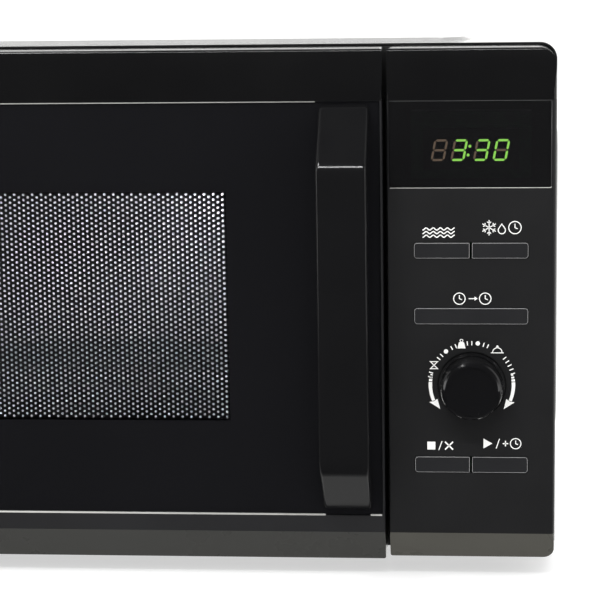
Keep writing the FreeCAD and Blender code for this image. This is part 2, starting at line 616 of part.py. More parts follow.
def make_interlock():
    lower, upper = HOOK_BASES
    plate = block((112.5, 138.0), (PLATE_D + 1.0, PLATE_D + 4.0), (58.0, 208.0))
    wall = block((135.0, 138.0), (PLATE_D + 4.0, 78.0), (58.0, 208.0))
    shelves = [block((112.5, 135.0), (56.0, 74.0), (z, z + 2.0)) for z in (58.0, 89.4, 171.4, 204.0)]
    ties = [block((112.5, 118.0), (PLATE_D + 4.0, 56.0), (z, z + 2.0)) for z in (58.0, 204.0)]
    ear = block((132.6, 135.0), (48.0, 60.0), (89.4, 102.0))
    body = fuse([plate, wall, ear] + shelves + ties)
    cuts = [block((LATCH_X[0] - 3, LATCH_X[1] + 3), (0.0, PLATE_D + 4.5), (z - BEAK - 0.6, z + 12.0))
            for z in HOOK_BASES]
    cuts.append(rod(120.0, 54.0, 98.0, 1.56, 40.0, (1, 0, 0)))
    body = body.cut(cuts)
    save("interlock_bracket", body)
    switch_d = (57.0, 72.0)
    places = {"primary_switch": ((121.0, 131.0), (174.2, 202.2)),
              "secondary_switch": ((124.0, 134.0), (60.6, 88.6)),
              "monitor_switch": ((113.2, 123.2), (60.6, 88.6))}
    switches = []
    for name, (x, z) in places.items():
        case = block(x, switch_d, z)
        tabs = [block((x[0] + 4, x[0] + 6), (switch_d[1], switch_d[1] + 8), (z[0] + k, z[0] + k + 5))
                for k in (3, 12, 21)]
        hole = rod((x[0] + x[1]) / 2, switch_d[0] - 1, PLUNGER_Z[name], 1.6, 6.0, (0, 1, 0))
        switches.append(fuse([case] + tabs).cut(hole))
    save("interlock_switches", *switches)
    plungers = [rod(sum(places[n][0]) / 2, PLUNGER_D[n], PLUNGER_Z[n], 1.5,
                    switch_d[0] + 3.0 - PLUNGER_D[n], (0, 1, 0)) for n in places]
    save("switch_plungers", *plungers)
    arm = block((114.0, 132.0), (LEVER_D, LEVER_D + 3.0), (66.0, 98.0))
    boss = rod(114.0, 54.0, 98.0, 3.6, 18.0, (1, 0, 0))
    pin = rod(132.0, 54.0, 98.0, 1.5, 3.0, (1, 0, 0))
    save("interlock_lever", fuse([arm, boss, pin]))


PLUNGER_Z = {"primary_switch": 189.0, "secondary_switch": 75.0, "monitor_switch": 75.0}
LEVER_D = HOOK_TIP_D + 2 * GAP
PLUNGER_D = {"primary_switch": HOOK_TIP_D + GAP, "secondary_switch": LEVER_D + 3.0 + GAP,
             "monitor_switch": LEVER_D + 3.0 + GAP}


# ---------------------------------------------------------------- door
def door_form():
    """Solid outer form of the door, before it is hollowed."""
    side = along_x(fascia_profile(DOOR_BOTTOM), (-FASCIA_HALF, DOOR_RIGHT))
    face = slab((-FASCIA_HALF, DOOR_RIGHT), (DOOR_BOTTOM, FASCIA_TOP), (-1.0, 40.0), (5.0, 1.0, 1.6, 8.0))
    k = math.sqrt(0.5)
    left = -FASCIA_HALF
    plan = [Vector(DOOR_RIGHT, back(FASCIA_REAR), 0), Vector(DOOR_RIGHT, back(1.0), 0),
            ("arc", Vector(DOOR_RIGHT - 0.3, back(0.3), 0), Vector(DOOR_RIGHT - 1.0, back(0), 0)),
            Vector(left + 3.8, back(0), 0),
            ("arc", Vector(left + 2.0, back(0.8), 0), Vector(left + 1.2, back(2.6), 0)),
            Vector(left, back(PIN_D), 0),
            ("arc", Vector(PIN_X - HINGE_ROUND * k, back(PIN_D + HINGE_ROUND * k), 0),
             Vector(PIN_X, back(FASCIA_REAR), 0))]
    plan_solid = Part.Face(wire_of(plan)).extrude(Vector(0, 0, 300))
    return side.common(face).common(plan_solid).removeSplitter()


DOOR_INSIDE_Z = (12.0, FASCIA_TOP - 3.2)
GLASS_X = (-214.6, 135.8)
GLASS_D = (1.2, 4.4)
HANDLE_X = (107.2, 130.9)


def make_door():
    frame = door_form()
    inside = block((-205.5, 134.4), (7.0, 40.0), DOOR_INSIDE_Z)
    pocket = slab(GLASS_X, (GLASS_BOTTOM, RAIL_LINE), (-1.0, GLASS_D[1] + 0.1), 0.6)
    view = slab((-186.0, 100.0), (52.0, 214.0), (0.0, 10.0), 6.0)
    hinge_room = [block((-220.0, -205.4), (16.6, 40.0), (z[0] - 0.5, z[1] + 0.5))
                  for z in (HINGE_UPPER, HINGE_LOWER)]
    bores = [rod(PIN_X, PIN_D, 237.0, PIN_R + 0.05, 12.0), rod(PIN_X, PIN_D, 17.0, PIN_R + 0.05, 12.5)]
    handle_holes = [rod((HANDLE_X[0] + HANDLE_X[1]) / 2, 0.0, z, 2.1, 12.0, (0, 1, 0)) for z in HANDLE_SCREWS]
    frame = frame.cut([inside, pocket, view] + hinge_room + bores + handle_holes)
    seat = block((121.0, 131.0), (6.5, 20.0), (HOOK_BASES[0] - 22.0, HOOK_BASES[0] - 19.1))
    frame = frame.fuse(seat).removeSplitter()
    save("door_frame", frame)

    glass = slab((GLASS_X[0] + 0.2, GLASS_X[1] - 0.2), (GLASS_BOTTOM + 0.2, RAIL_LINE - 0.2), GLASS_D, 0.5)
    save("door_glass", glass.cut(handle_holes))

    pan_x, pan_z = (-205.0, 119.0), (13.0, DOOR_INSIDE_Z[1] - 1.0)
    within_x, within_z = (pan_x[0] + SHEET, pan_x[1] - SHEET), (pan_z[0] + SHEET, pan_z[1] - SHEET)
    ring_out = slab(pan_x, pan_z, (9.0, 28.0), 3.0).cut(slab(within_x, within_z, (9.0 + SHEET, 40.0), 2.2))
    hole_x, hole_z = (-180.0, 94.0), (54.0, 212.0)
    around_x, around_z = (hole_x[0] - SHEET, hole_x[1] + SHEET), (hole_z[0] - SHEET, hole_z[1] + SHEET)
    well = slab(around_x, around_z, (9.0, 25.0), 4.0)
    pan = ring_out.fuse(well).cut(slab(hole_x, hole_z, (0.0, 40.0), 3.2))
    save("door_choke_frame", pan.removeSplitter())
    save("door_screen", slab((-186.0, 100.0), (48.0, 218.0), (25.0, 25.0 + SHEET), 3.0))

    opening = slab((-176.0, 90.0), (58.0, 208.0), (0.0, 40.0), 6.0)
    cover = slab((-205.2, 134.2), (DOOR_INSIDE_Z[0] + 0.2, DOOR_INSIDE_Z[1] - 0.2), (28.4, 31.5), 2.0)
    cover = cover.cut(opening)
    lip = slab((-179.4, 93.4), (54.6, 211.4), (27.0, 28.4), 6.0).cut(opening)
    cuts = [block((LATCH_X[0] - 2, LATCH_X[1] + 2), (0.0, 40.0), (z - 4.6, z + 10.6)) for z in HOOK_BASES]
    save("choke_cover", softened(cover, 0.8, front_edge(31.5)).fuse(lip).removeSplitter().cut(cuts))


HANDLE_SCREWS = (42.0, 221.0)
HANDLE_Z = (34.2, 229.0)
HANDLE_BAR_Z = (60.0, 201.5)
HANDLE_THICK = 7.5


def make_handle():
    foot = GLASS_D[0]
    (bottom, top), (lower, upper) = HANDLE_Z, HANDLE_BAR_Z
    front, behind = -HANDLE_REACH, -HANDLE_REACH + HANDLE_THICK
    outline = eased([
        (foot, bottom, 0), (-1.4, bottom + 1.6, 1.5), (front, lower, 12.5), (front, upper, 9.0),
        (-1.4, top - 1.6, 1.5), (foot, top, 0), (foot, top - 14.0, 0),
        (behind, upper - 10.0, 8.0), (behind, lower + 10.0, 8.0), (foot, bottom + 14.0, 0)])
    bar = along_x(outline, HANDLE_X)

    def front_corner(e):
        """Edges along the two long front corners of the bar and its slopes."""
        box = e.BoundBox
        along = box.XLength < 0.01 and box.YMax < back(0.5)
        outside = box.YMax < back(front + 1.0) or not lower + 2.0 <= e.CenterOfMass.z <= upper - 2.0
        rear = box.ZLength > 10 and abs(box.YMin - back(behind)) < 0.01
        return along and outside and not rear

    bar = softened(bar, 2.0, front_corner)
    x = sum(HANDLE_X) / 2
    pilots = [rod(x, foot - 6.5, z, 1.4, 8.0, (0, 1, 0)) for z in HANDLE_SCREWS]
    save("door_handle", bar.cut(pilots))
    made = [screw(x, 7.0, z, (0, 1, 0), shank=11.6, shank_r=1.4) for z in HANDLE_SCREWS]
    save("handle_screws", *made)


def make_latch():
    lower, upper = HOOK_BASES
    bar = block(LATCH_X, (12.0, 16.0), (lower - 6.0, upper + 12.0))
    pieces = [bar]
    for z in HOOK_BASES:
        beak = [(37.0, z), (38.0, z - BEAK), (41.0, z - BEAK), (HOOK_TIP_D, z + 1.0)]
        pieces.append(along_x([(15.0, z)] + beak + [(HOOK_TIP_D, z + 6.0), (15.0, z + 6.0)], LATCH_X))
    post = rod(126.0, 14.0, lower - 13.0, 1.6, 8.0)
    save("door_latch", fuse(pieces + [post]))
    helix = Part.makeHelix(2.0, 12.0, 2.9)
    section = Part.Wire(Part.Circle(Vector(2.9, 0, 0), Vector(0, 1, 0), 0.4).toShape())
    coil = Part.Wire(helix.Edges).makePipeShell([section], True, True)
    coil.translate(Vector(126.0, back(14.0), lower - 18.6))
    save("latch_spring", coil)


# ---------------------------------------------------------------- control panel
def button_openings():
    """One opening for each row of keys."""
    x = (BUTTON_LEFT[0] - BUTTON_ROOM, BUTTON_RIGHT[1] + BUTTON_ROOM)
    return [slab(x, (low - BUTTON_ROOM, high + BUTTON_ROOM), (-1.0, 8.0), 1.7)
            for low, high in BUTTON_ROWS.values()]


LENS_X = (139.9, 215.4)
LENS_Z = (189.6, RAIL_LINE)
LENS_D = (0.5, 2.5)


def make_control_panel():
    x = (PANEL_LEFT, FASCIA_HALF)
    side = along_x(fascia_profile(FASCIA_BOTTOM), x)
    face = slab(x, (FASCIA_BOTTOM, FASCIA_TOP), (-1.0, 40.0), (1.0, 5.0, 8.0, 1.6))
    k = 2.0 * (1 - math.sqrt(0.5))
    plan = [Vector(x[0], back(FASCIA_REAR), 0), Vector(x[0], back(0.8), 0),
            ("arc", Vector(x[0] + 0.24, back(0.24), 0), Vector(x[0] + 0.8, back(0), 0)),
            Vector(x[1] - 2.0, back(0), 0), ("arc", Vector(x[1] - k, back(k), 0), Vector(x[1], back(2.0), 0)),
            Vector(x[1], back(FASCIA_REAR), 0)]
    plan_solid = Part.Face(wire_of(plan)).extrude(Vector(0, 0, 300))
    outer = side.common(face).common(plan_solid).removeSplitter()
    inner = block((x[0] + 2.2, x[1] - 2.4), (7.5, 40.0), (FASCIA_BOTTOM + 3.0, FASCIA_TOP - 3.0))
    pocket = block((x[0] + 3.5, x[1] - 3.8), (2.8, 8.0), (26.0, 232.0))
    lens_seat = slab(LENS_X, LENS_Z, (-1.0, LENS_D[1] + 0.05), 0.5)
    dial_seat = rod(KNOB_X, -1.0, KNOB_Z, 16.3, 2.0, (0, 1, 0))
    shaft_hole = rod(KNOB_X, -2.0, KNOB_Z, 5.0, 12.0, (0, 1, 0))
    window = slab((156.0, 200.0), (197.0, 218.0), (-1.0, 8.0), 1.0)
    behind_window = slab((150.0, 206.0), (194.0, 226.0), (2.4, 8.0), 1.0)
    cuts = [inner, pocket, lens_seat, dial_seat, shaft_hole, window, behind_window]
    bezel = outer.cut(cuts + button_openings())
    save("control_bezel", bezel)
    lens = slab((LENS_X[0] + 0.1, LENS_X[1] - 0.1), (LENS_Z[0] + 0.1, LENS_Z[1] - 0.1), LENS_D, 0.4)
    save("display_lens", lens)


def make_button(name, x, row, left_round, right_round):
    z = BUTTON_ROWS[row]
    cap = slab(x, z, (BUTTON_FRONT, 2.6), (left_round, right_round, right_round, left_round))
    cap = softened(cap, 0.55, front_edge(BUTTON_FRONT))
    collar = slab((x[0] - (0.9 if left_round > 1 else 0.0), x[1] + (0.9 if right_round > 1 else 0.0)),
                  (z[0] - 0.9, z[1] + 0.9), (2.9, 4.1), 0.4)
    neck = slab((x[0] + 0.6, x[1] - 0.6), (z[0] + 0.6, z[1] - 0.6), (2.5, 3.0), 0.4)
    centre = (x[0] + x[1]) / 2, (z[0] + z[1]) / 2
    stem_end = PCB_D - TACT_HEIGHT - BUTTON_TRAVEL - 0.1
    stem = rod(centre[0], 4.0, centre[1], 2.2, stem_end - 4.0, (0, 1, 0))
    save(name, fuse([cap, collar, neck, stem]))
    return centre


TACT_HEIGHT = 4.3


def make_controls():
    whole = (BUTTON_LEFT[0], BUTTON_RIGHT[1])
    centres = [
        make_button("power_button", BUTTON_LEFT, "upper", 1.5, 0.3),
        make_button("defrost_button", BUTTON_RIGHT, "upper", 0.3, 1.5),
        make_button("clock_button", whole, "middle", 1.5, 1.5),
        make_button("stop_button", BUTTON_LEFT, "lower", 1.5, 0.3),
        make_button("start_button", BUTTON_RIGHT, "lower", 0.3, 1.5),
    ]
    board = block((145.0, 212.0), (PCB_D, PCB_D + 1.6), (34.0, 224.0))
    save("control_board", board)
    tacts = []
    for x, z in centres:
        base = block((x - 3, x + 3), (PCB_D - 3.5, PCB_D), (z - 3, z + 3))
        tacts.append(base.fuse(rod(x, PCB_D - TACT_HEIGHT, z, 1.7, TACT_HEIGHT, (0, 1, 0))).removeSplitter())
    body = block((KNOB_X - 6.2, KNOB_X + 6.2), (PCB_D - 6.5, PCB_D), (KNOB_Z - 6.2, KNOB_Z + 6.2)).cut(
        rod(KNOB_X, 0.0, KNOB_Z, 3.1, PCB_D - 1.0, (0, 1, 0)))
    shaft = rod(KNOB_X, -11.0, KNOB_Z, 3.0, PCB_D + 9.0, (0, 1, 0)).cut(
        block((KNOB_X - 5, KNOB_X + 5), (-12.0, -3.0), (KNOB_Z + 1.5, KNOB_Z + 5)))
    save("encoder_shaft", shaft)
    display = block((155.5, 200.5), (7.6, PCB_D), (197.6, 216.4))
    relays = [block((x, x + 18.0), (PCB_D + 1.6, PCB_D + 16.6), (186.0, 204.0)) for x in (150.0, 172.0)]
    supply = block((154.0, 196.0), (PCB_D + 1.6, PCB_D + 27.0), (140.0, 174.0))
    buzzer = rod(160.0, PCB_D + 1.6, 118.0, 6.0, 8.0, (0, 1, 0))
    terminal = block((172.0, 206.0), (PCB_D + 1.6, PCB_D + 13.0), (108.0, 120.0))
    save("board_components", display, body, *(tacts + relays + [supply, buzzer, terminal]))


def make_knob():
    """Heights are counted out of the panel's face."""
    face, rim = 14.0, KNOB_R
    socket = [(3.02, 0.6), (6.4, 0.6), (6.4, 4.0), (13.0, 4.0)]
    flange = [(13.0, -0.4), (15.6, -0.4), (15.6, 0.5), (15.0, 1.1), (14.9, 1.2)]
    shoulder = [(rim + 0.1, face - 3.4), (rim - 0.25, face - 2.1), (rim - 0.95, face - 1.0),
                (rim - 1.9, face - 0.3), (rim - 2.7, face), (rim - 3.1, face - 0.1)]
    dish = [(rim - 3.4, face - 0.5), (0, face - 0.9), (0, face - 2.9), (3.02, face - 2.9)]
    profile = socket + flange + shoulder + dish
    save("dial_knob", spun(profile, Vector(KNOB_X, back(0), KNOB_Z), (0, -1, 0)))


# ---------------------------------------------------------------- mains and protection
def make_mains():
    board = block((124.0, 206.0), (254.0, 318.0), (216.0, 217.6))
    toroid = [(6.0, 0), (13.0, 0), (13.0, 11.0), (6.0, 11.0)]
    choke = spun(toroid, Vector(144.0, back(274.0), 217.65), (0, 0, 1))
    film = block((168.0, 194.0), (260.0, 272.0), (217.6, 233.0))
    holder = block((166.0, 200.0), (294.0, 304.0), (217.6, 221.0)).fuse(
        block((166.0, 170.0), (294.0, 304.0), (221.0, 229.0))).fuse(
        block((196.0, 200.0), (294.0, 304.0), (221.0, 229.0))).removeSplitter()
    holder = holder.cut(rod(160.0, 299.0, 226.0, 3.1, 60.0, (1, 0, 0)))
    fuse_link = rod(163.0, 299.0, 226.0, 3.05, 40.0, (1, 0, 0))
    legs = block((124.0, 126.0), (254.0, 318.0), (206.0, 216.0)).fuse(
        block((CAVITY_X[1] + SHEET, 126.0), (264.0, 318.0), (205.0, 206.0))).removeSplitter()
    save("noise_filter", board, legs, choke, film, holder, fuse_link)
    neck = GLAND_R - 0.15
    gland = [(3.8, 0), (10.5, 0), (10.5, 1.6), (neck, 1.6), (neck, 2.4), (9.0, 2.6), (9.0, 4.2), (7.4, 5.6),
             (5.6, 6.8), (3.8, 6.8)]
    save("cord_gland", spun(gland, Vector(GLAND_X, back(REAR_D - 1.6), GLAND_Z), (0, 1, 0)))
    cutouts = []
    disc = [(0, 0), (11.0, 0), (11.0, 1.0), (8.2, 1.0), (8.2, 8.0), (0, 8.0)]
    on_magnetron = Vector(MAG_X, back(MAG_D - 28.0), 158.0)
    on_cavity = Vector(-20.0, back(150.0), CAVITY_Z[1] + SHEET)
    for centre, axis in ((on_magnetron, (0, -1, 0)), (on_cavity, (0, 0, 1))):
        cutouts.append(spun(disc, centre, axis))
    save("thermal_cutouts", *cutouts)


for make in (make_cabinet, make_rear_panel, make_rear_spacers, make_base_plate, make_feet, make_screws,
             make_front_plate, make_cavity, make_waveguide, make_lamp, make_magnetron, make_transformer,
             make_capacitor, make_fan, make_turntable, make_roller_ring, make_hinges, make_interlock,
             make_door, make_handle, make_latch, make_control_panel, make_controls, make_knob, make_mains):
    make()
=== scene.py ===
import math

import bmesh
import bpy
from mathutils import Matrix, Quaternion, Vector


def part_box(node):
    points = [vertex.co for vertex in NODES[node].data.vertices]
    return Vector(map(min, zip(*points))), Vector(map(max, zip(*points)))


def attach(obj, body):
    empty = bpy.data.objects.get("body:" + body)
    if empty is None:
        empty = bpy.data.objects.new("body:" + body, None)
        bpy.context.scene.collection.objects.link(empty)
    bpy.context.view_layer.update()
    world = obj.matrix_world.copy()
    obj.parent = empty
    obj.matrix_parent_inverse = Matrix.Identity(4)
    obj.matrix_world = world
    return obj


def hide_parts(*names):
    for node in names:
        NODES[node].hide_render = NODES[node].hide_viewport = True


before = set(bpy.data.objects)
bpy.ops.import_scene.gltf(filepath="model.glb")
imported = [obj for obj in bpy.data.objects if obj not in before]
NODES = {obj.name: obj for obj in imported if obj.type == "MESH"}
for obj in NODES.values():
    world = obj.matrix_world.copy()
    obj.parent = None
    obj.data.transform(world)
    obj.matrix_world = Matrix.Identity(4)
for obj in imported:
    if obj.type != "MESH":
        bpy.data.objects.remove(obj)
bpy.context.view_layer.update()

# Looks of the countertop microwave oven, in metres, in the frame's own axes.

MM = 0.001

# ------------------------------------------------------------------ places taken from the frame
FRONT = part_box("door_frame")[0].y                       # plane of door face and panel face
LENS_LOW, LENS_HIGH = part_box("display_lens")
GLASS_LOW, GLASS_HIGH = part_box("door_glass")
SCREEN_LOW, SCREEN_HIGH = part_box("door_screen")
HANDLE_LOW, HANDLE_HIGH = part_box("door_handle")
CAVITY_LOW, CAVITY_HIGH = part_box("cavity_box")
KNOB_LOW, KNOB_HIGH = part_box("dial_knob")
KNOB_X = (KNOB_LOW.x + KNOB_HIGH.x) / 2
KNOB_Z = (KNOB_LOW.z + KNOB_HIGH.z) / 2
BEVEL_TOP = 23.6 * MM                                   # over the bottom bevel of door and panel

# ------------------------------------------------------------------ camera
CAMERA_AT = Vector((0.1889, FRONT - 0.9390, 0.3006))
CAMERA_YAW, CAMERA_PITCH, CAMERA_ROLL = math.radians(-4.531), math.radians(-9.866), math.radians(0.715)
LENS_MM, SHIFT_X = 121.6, -0.06


def make_camera():
    data = bpy.data.cameras.new("camera")
    data.lens, data.sensor_width, data.shift_x = LENS_MM, 36.0, SHIFT_X
    data.clip_start, data.clip_end = 0.05, 40.0
    camera = bpy.data.objects.new("camera", data)
    bpy.context.scene.collection.objects.link(camera)
    forward = Vector((math.sin(CAMERA_YAW) * math.cos(CAMERA_PITCH),
                      math.cos(CAMERA_YAW) * math.cos(CAMERA_PITCH), math.sin(CAMERA_PITCH)))
    camera.rotation_mode = "QUATERNION"
    camera.rotation_quaternion = Quaternion(forward, CAMERA_ROLL) @ forward.to_track_quat("-Z", "Y")
    camera.location = CAMERA_AT
    bpy.context.scene.camera = camera


# ------------------------------------------------------------------ material building blocks
class Shade:
    """A node material under construction, with short calls for the nodes that all of them share."""

    def __init__(self, name):
        self.material = bpy.data.materials.new(name)
        self.material.use_nodes = True
        self.tree = self.material.node_tree
        self.shader = self.tree.nodes["Principled BSDF"]
        self.place = self.node("ShaderNodeTexCoord").outputs["Object"]

    def node(self, kind, **settings):
        made = self.tree.nodes.new(kind)
        for key, value in settings.items():
            setattr(made, key, value)
        return made

    def link(self, source, target):
        self.tree.links.new(source, target)

    def set(self, **values):
        for key, value in values.items():
            self.shader.inputs[key.replace("_", " ")].default_value = value

    def stretched(self, x, y, z):
        """Place scaled along each axis, which stretches the pattern made from it."""
        made = self.node("ShaderNodeMapping")
        made.inputs["Scale"].default_value = (x, y, z)
        self.link(self.place, made.inputs["Vector"])
        return made.outputs["Vector"]

    def noise(self, scale, detail=3.0, rough=0.55, place=None):
        made = self.node("ShaderNodeTexNoise")
        made.inputs["Scale"].default_value = scale
        made.inputs["Detail"].default_value = detail
        made.inputs["Roughness"].default_value = rough
        self.link(place or self.place, made.inputs["Vector"])
        return made.outputs["Fac"]

    def cells(self, scale, feature="F1"):
        made = self.node("ShaderNodeTexVoronoi", feature=feature)
        made.inputs["Scale"].default_value = scale
        self.link(self.place, made.inputs["Vector"])
        return made

    def axis(self, letter):
        made = self.node("ShaderNodeSeparateXYZ")
        self.link(self.place, made.inputs[0])
        return made.outputs[letter]

    def waves(self, pitch, letter):
        """Bands of one pitch along an axis, from 0 to 1."""
        times = self.math("MULTIPLY", self.axis(letter), 2 * math.pi / pitch)
        return self.math("MULTIPLY_ADD", self.math("SINE", times), 0.5, 0.5)

    def math(self, operation, *values):
        made = self.node("ShaderNodeMath", operation=operation)
        for socket, value in zip(made.inputs, values):
            if isinstance(value, (int, float)):
                socket.default_value = value
            else:
                self.link(value, socket)
        return made.outputs[0]

    def spread(self, source, low, high, start=0.0, end=1.0):
        """source from start..end mapped to low..high, clamped."""
        made = self.node("ShaderNodeMapRange")
        made.inputs["From Min"].default_value = start
        made.inputs["From Max"].default_value = end
        for key, value in (("To Min", low), ("To Max", high)):
            if isinstance(value, (int, float)):
                made.inputs[key].default_value = value
            else:
                self.link(value, made.inputs[key])
        self.link(source, made.inputs["Value"])
        return made.outputs["Result"]

    def blend(self, factor, first, second):
        """Colour between two colours or colour sockets."""
        made = self.node("ShaderNodeMix", data_type="RGBA")
        self.link(factor, made.inputs["Factor"])
        for key, value in (("A", first), ("B", second)):
            socket = [s for s in made.inputs if s.name == key and s.type == "RGBA"][0]
            if isinstance(value, (tuple, list)):
                socket.default_value = (*value[:3], 1.0)
            else:
                self.link(value, socket)
        return [s for s in made.outputs if s.type == "RGBA"][0]

    def colour(self, socket):
        self.link(socket, self.shader.inputs["Base Color"])

    def roughness(self, socket):
        self.link(socket, self.shader.inputs["Roughness"])

    def bump(self, height, depth, strength=1.0):
        """Relief of the given depth in metres. Calls stack on each other."""
        made = self.node("ShaderNodeBump")
        made.inputs["Distance"].default_value = depth
        made.inputs["Strength"].default_value = strength
        self.link(height, made.inputs["Height"])
        normal = self.shader.inputs["Normal"]
        if normal.is_linked:
            self.link(normal.links[0].from_socket, made.inputs["Normal"])
        self.link(made.outputs["Normal"], normal)


def scaled(colour, factor):
    return tuple(min(1.0, c * factor) for c in colour)


def moulded(name, colour, rough, grain=1400.0, depth=0.00002, shade=0.12, cloud=22.0, ior=1.5, coat=0.0):
    """Moulded or painted surface: cloudy tint, uneven gloss and a fine grain in relief."""
    s = Shade(name)
    s.set(IOR=ior, Coat_Weight=coat, Coat_Roughness=0.06)
    s.colour(s.blend(s.noise(cloud, 4.0), scaled(colour, 1 - shade), scaled(colour, 1 + shade)))
    s.roughness(s.spread(s.noise(cloud * 3.7, 5.0), rough * 0.82, rough * 1.2, 0.3, 0.7))
    s.bump(s.noise(grain, 3.0), depth)
    return s


def gloss_black(name, colour, rough):
    """High-gloss black plastic with hairline swirls, a little dust and a soft mould waviness."""
    s = moulded(name, colour, rough, grain=60.0, depth=0.00001, shade=0.25, cloud=14.0)
    swirl = s.noise(900.0, 2.0, place=s.stretched(1.0, 1.0, 0.08))
    s.bump(swirl, 0.000002, 0.5)
    return s


def fascia_black(name, face_colour, bevel_reflection_colour):
    """Door frame and control panel: glossy top rail, fine matt face, satin bevel whose lighter colour is a
    painted reflection of the floor.
    """
    s = Shade(name)
    height = s.axis("Z")
    s.set(IOR=1.52, Specular_IOR_Level=0.36)
    grain = s.noise(2600.0, 3.0)
    fine = s.noise(30.0, 4.0)
    below = s.spread(height, 1.0, 0.0, BEVEL_TOP - 0.2 * MM, BEVEL_TOP)
    above = s.spread(height, 0.0, 1.0, LENS_HIGH.z, LENS_HIGH.z + 0.3 * MM)
    face = s.blend(fine, scaled(face_colour, 0.8), scaled(face_colour, 1.2))
    rail = s.blend(fine, (0.0040, 0.0040, 0.0043), (0.0062, 0.0062, 0.0065))
    # the bevel's colour, lighter than the face, is painted reflection of the pale floor
    bevel = s.blend(fine, scaled(bevel_reflection_colour, 0.88), scaled(bevel_reflection_colour, 1.12))
    s.colour(s.blend(above, s.blend(below, face, bevel), rail))
    matt = s.spread(fine, 0.42, 0.50)
    gloss = s.spread(fine, 0.07, 0.13)
    satin = s.spread(fine, 0.24, 0.32)
    s.roughness(s.spread(above, s.spread(below, matt, satin), gloss))
    face_only = s.math("SUBTRACT", 1.0, s.math("MAXIMUM", above, below))
    s.bump(s.math("MULTIPLY", grain, face_only), 0.00004)
    return s


def powder_coat(name):
    """Black powder paint of the cabinet: orange peel with fine sparkle in the gloss."""
    s = moulded(name, (0.017, 0.017, 0.018), 0.34, grain=900.0, depth=0.00003, shade=0.1, cloud=9.0, coat=1.0)
    s.bump(s.noise(3200.0, 2.0), 0.00001, 0.6)
    return s


def galvanised(name, colour=(0.36, 0.37, 0.38)):
    """Zinc-coated sheet with its crystal pattern and rolling lines."""
    s = Shade(name)
    s.set(Metallic=1.0)
    spangle = s.cells(240.0).outputs["Color"]
    value = s.node("ShaderNodeRGBToBW")
    s.link(spangle, value.inputs[0])
    patches = value.outputs[0]
    s.colour(s.blend(patches, scaled(colour, 0.84), scaled(colour, 1.12)))
    s.roughness(s.spread(patches, 0.30, 0.46))
    s.bump(s.noise(500.0, 4.0, place=s.stretched(1.0, 0.1, 1.0)), 0.00001)
    return s


def machined(name, colour, rough, letter, pitch):
    """Metal with fine drawing or turning lines along one axis."""
    s = Shade(name)
    s.set(Metallic=1.0)
    lines = s.waves(pitch, letter)
    s.colour(s.blend(s.noise(60.0, 4.0), scaled(colour, 0.82), scaled(colour, 1.1)))
    s.roughness(s.spread(s.noise(300.0, 3.0), rough * 0.8, rough * 1.25))
    s.bump(lines, 0.000008)
    return s


def enamel(name):
    """Light grey baked enamel of the cavity with a faint speckle and orange peel."""
    s = Shade(name)
    speck = s.spread(s.cells(520.0).outputs["Distance"], 1.0, 0.0, 0.10, 0.22)
    ground = s.blend(s.noise(12.0, 4.0), (0.34, 0.345, 0.355), (0.40, 0.405, 0.415))
    s.colour(s.blend(speck, ground, (0.22, 0.22, 0.22)))
    s.roughness(s.spread(s.noise(80.0, 3.0), 0.42, 0.52))
    s.bump(s.noise(240.0, 2.0), 0.00008, 0.6)
    return s


def stacked(name, colour, letter, pitch, depth, metallic, rough=0.45):
    """Stacked laminations or wound wire: ridges of one pitch along an axis, with painted shade darkening the
    grooves between them.
    """
    s = Shade(name)
    s.set(Metallic=metallic)
    ridge = s.waves(pitch, letter)
    # the colour darkens in the grooves between ridges: painted shade
    s.colour(s.blend(s.spread(ridge, 0.0, 1.0, 0.0, 0.5), scaled(colour, 0.45), colour))
    s.roughness(s.spread(s.noise(90.0, 4.0), rough * 0.8, rough * 1.2))
    s.bump(ridge, depth)
    return s


def circuit_board(name):
    """Green solder mask with copper tracks showing through as lighter lines."""
    s = Shade(name)
    track = s.cells(170.0, "DISTANCE_TO_EDGE").outputs["Distance"]
    shown = s.spread(track, 1.0, 0.0, 0.05, 0.09)
    ground = s.blend(s.noise(50.0, 3.0), (0.010, 0.075, 0.030), (0.014, 0.095, 0.040))
    s.colour(s.blend(shown, ground, (0.030, 0.17, 0.060)))
    s.roughness(s.spread(s.noise(200.0, 3.0), 0.25, 0.4))
    s.bump(shown, 0.00003)
    return s


def mica(name):
    """Pressed mica board with flaky, slightly glossy scales."""
    s = Shade(name)
    flakes = s.cells(420.0)
    value = s.node("ShaderNodeRGBToBW")
    s.link(flakes.outputs["Color"], value.inputs[0])
    s.colour(s.blend(value.outputs[0], (0.36, 0.31, 0.24), (0.52, 0.47, 0.38)))
    s.roughness(s.spread(value.outputs[0], 0.35, 0.6))
    s.bump(flakes.outputs["Distance"], 0.00004)
    return s


def clear_glass(name, tint, rough=0.02, ripple=0.00001):
    """Clear moulded glass."""
    s = Shade(name)
    s.set(IOR=1.5, Transmission_Weight=1.0)
    s.colour(s.blend(s.noise(18.0, 2.0), tint, scaled(tint, 0.97)))
    s.roughness(s.spread(s.noise(60.0, 3.0), rough, rough * 2.5))
    s.bump(s.noise(55.0, 2.0), ripple)
    return s


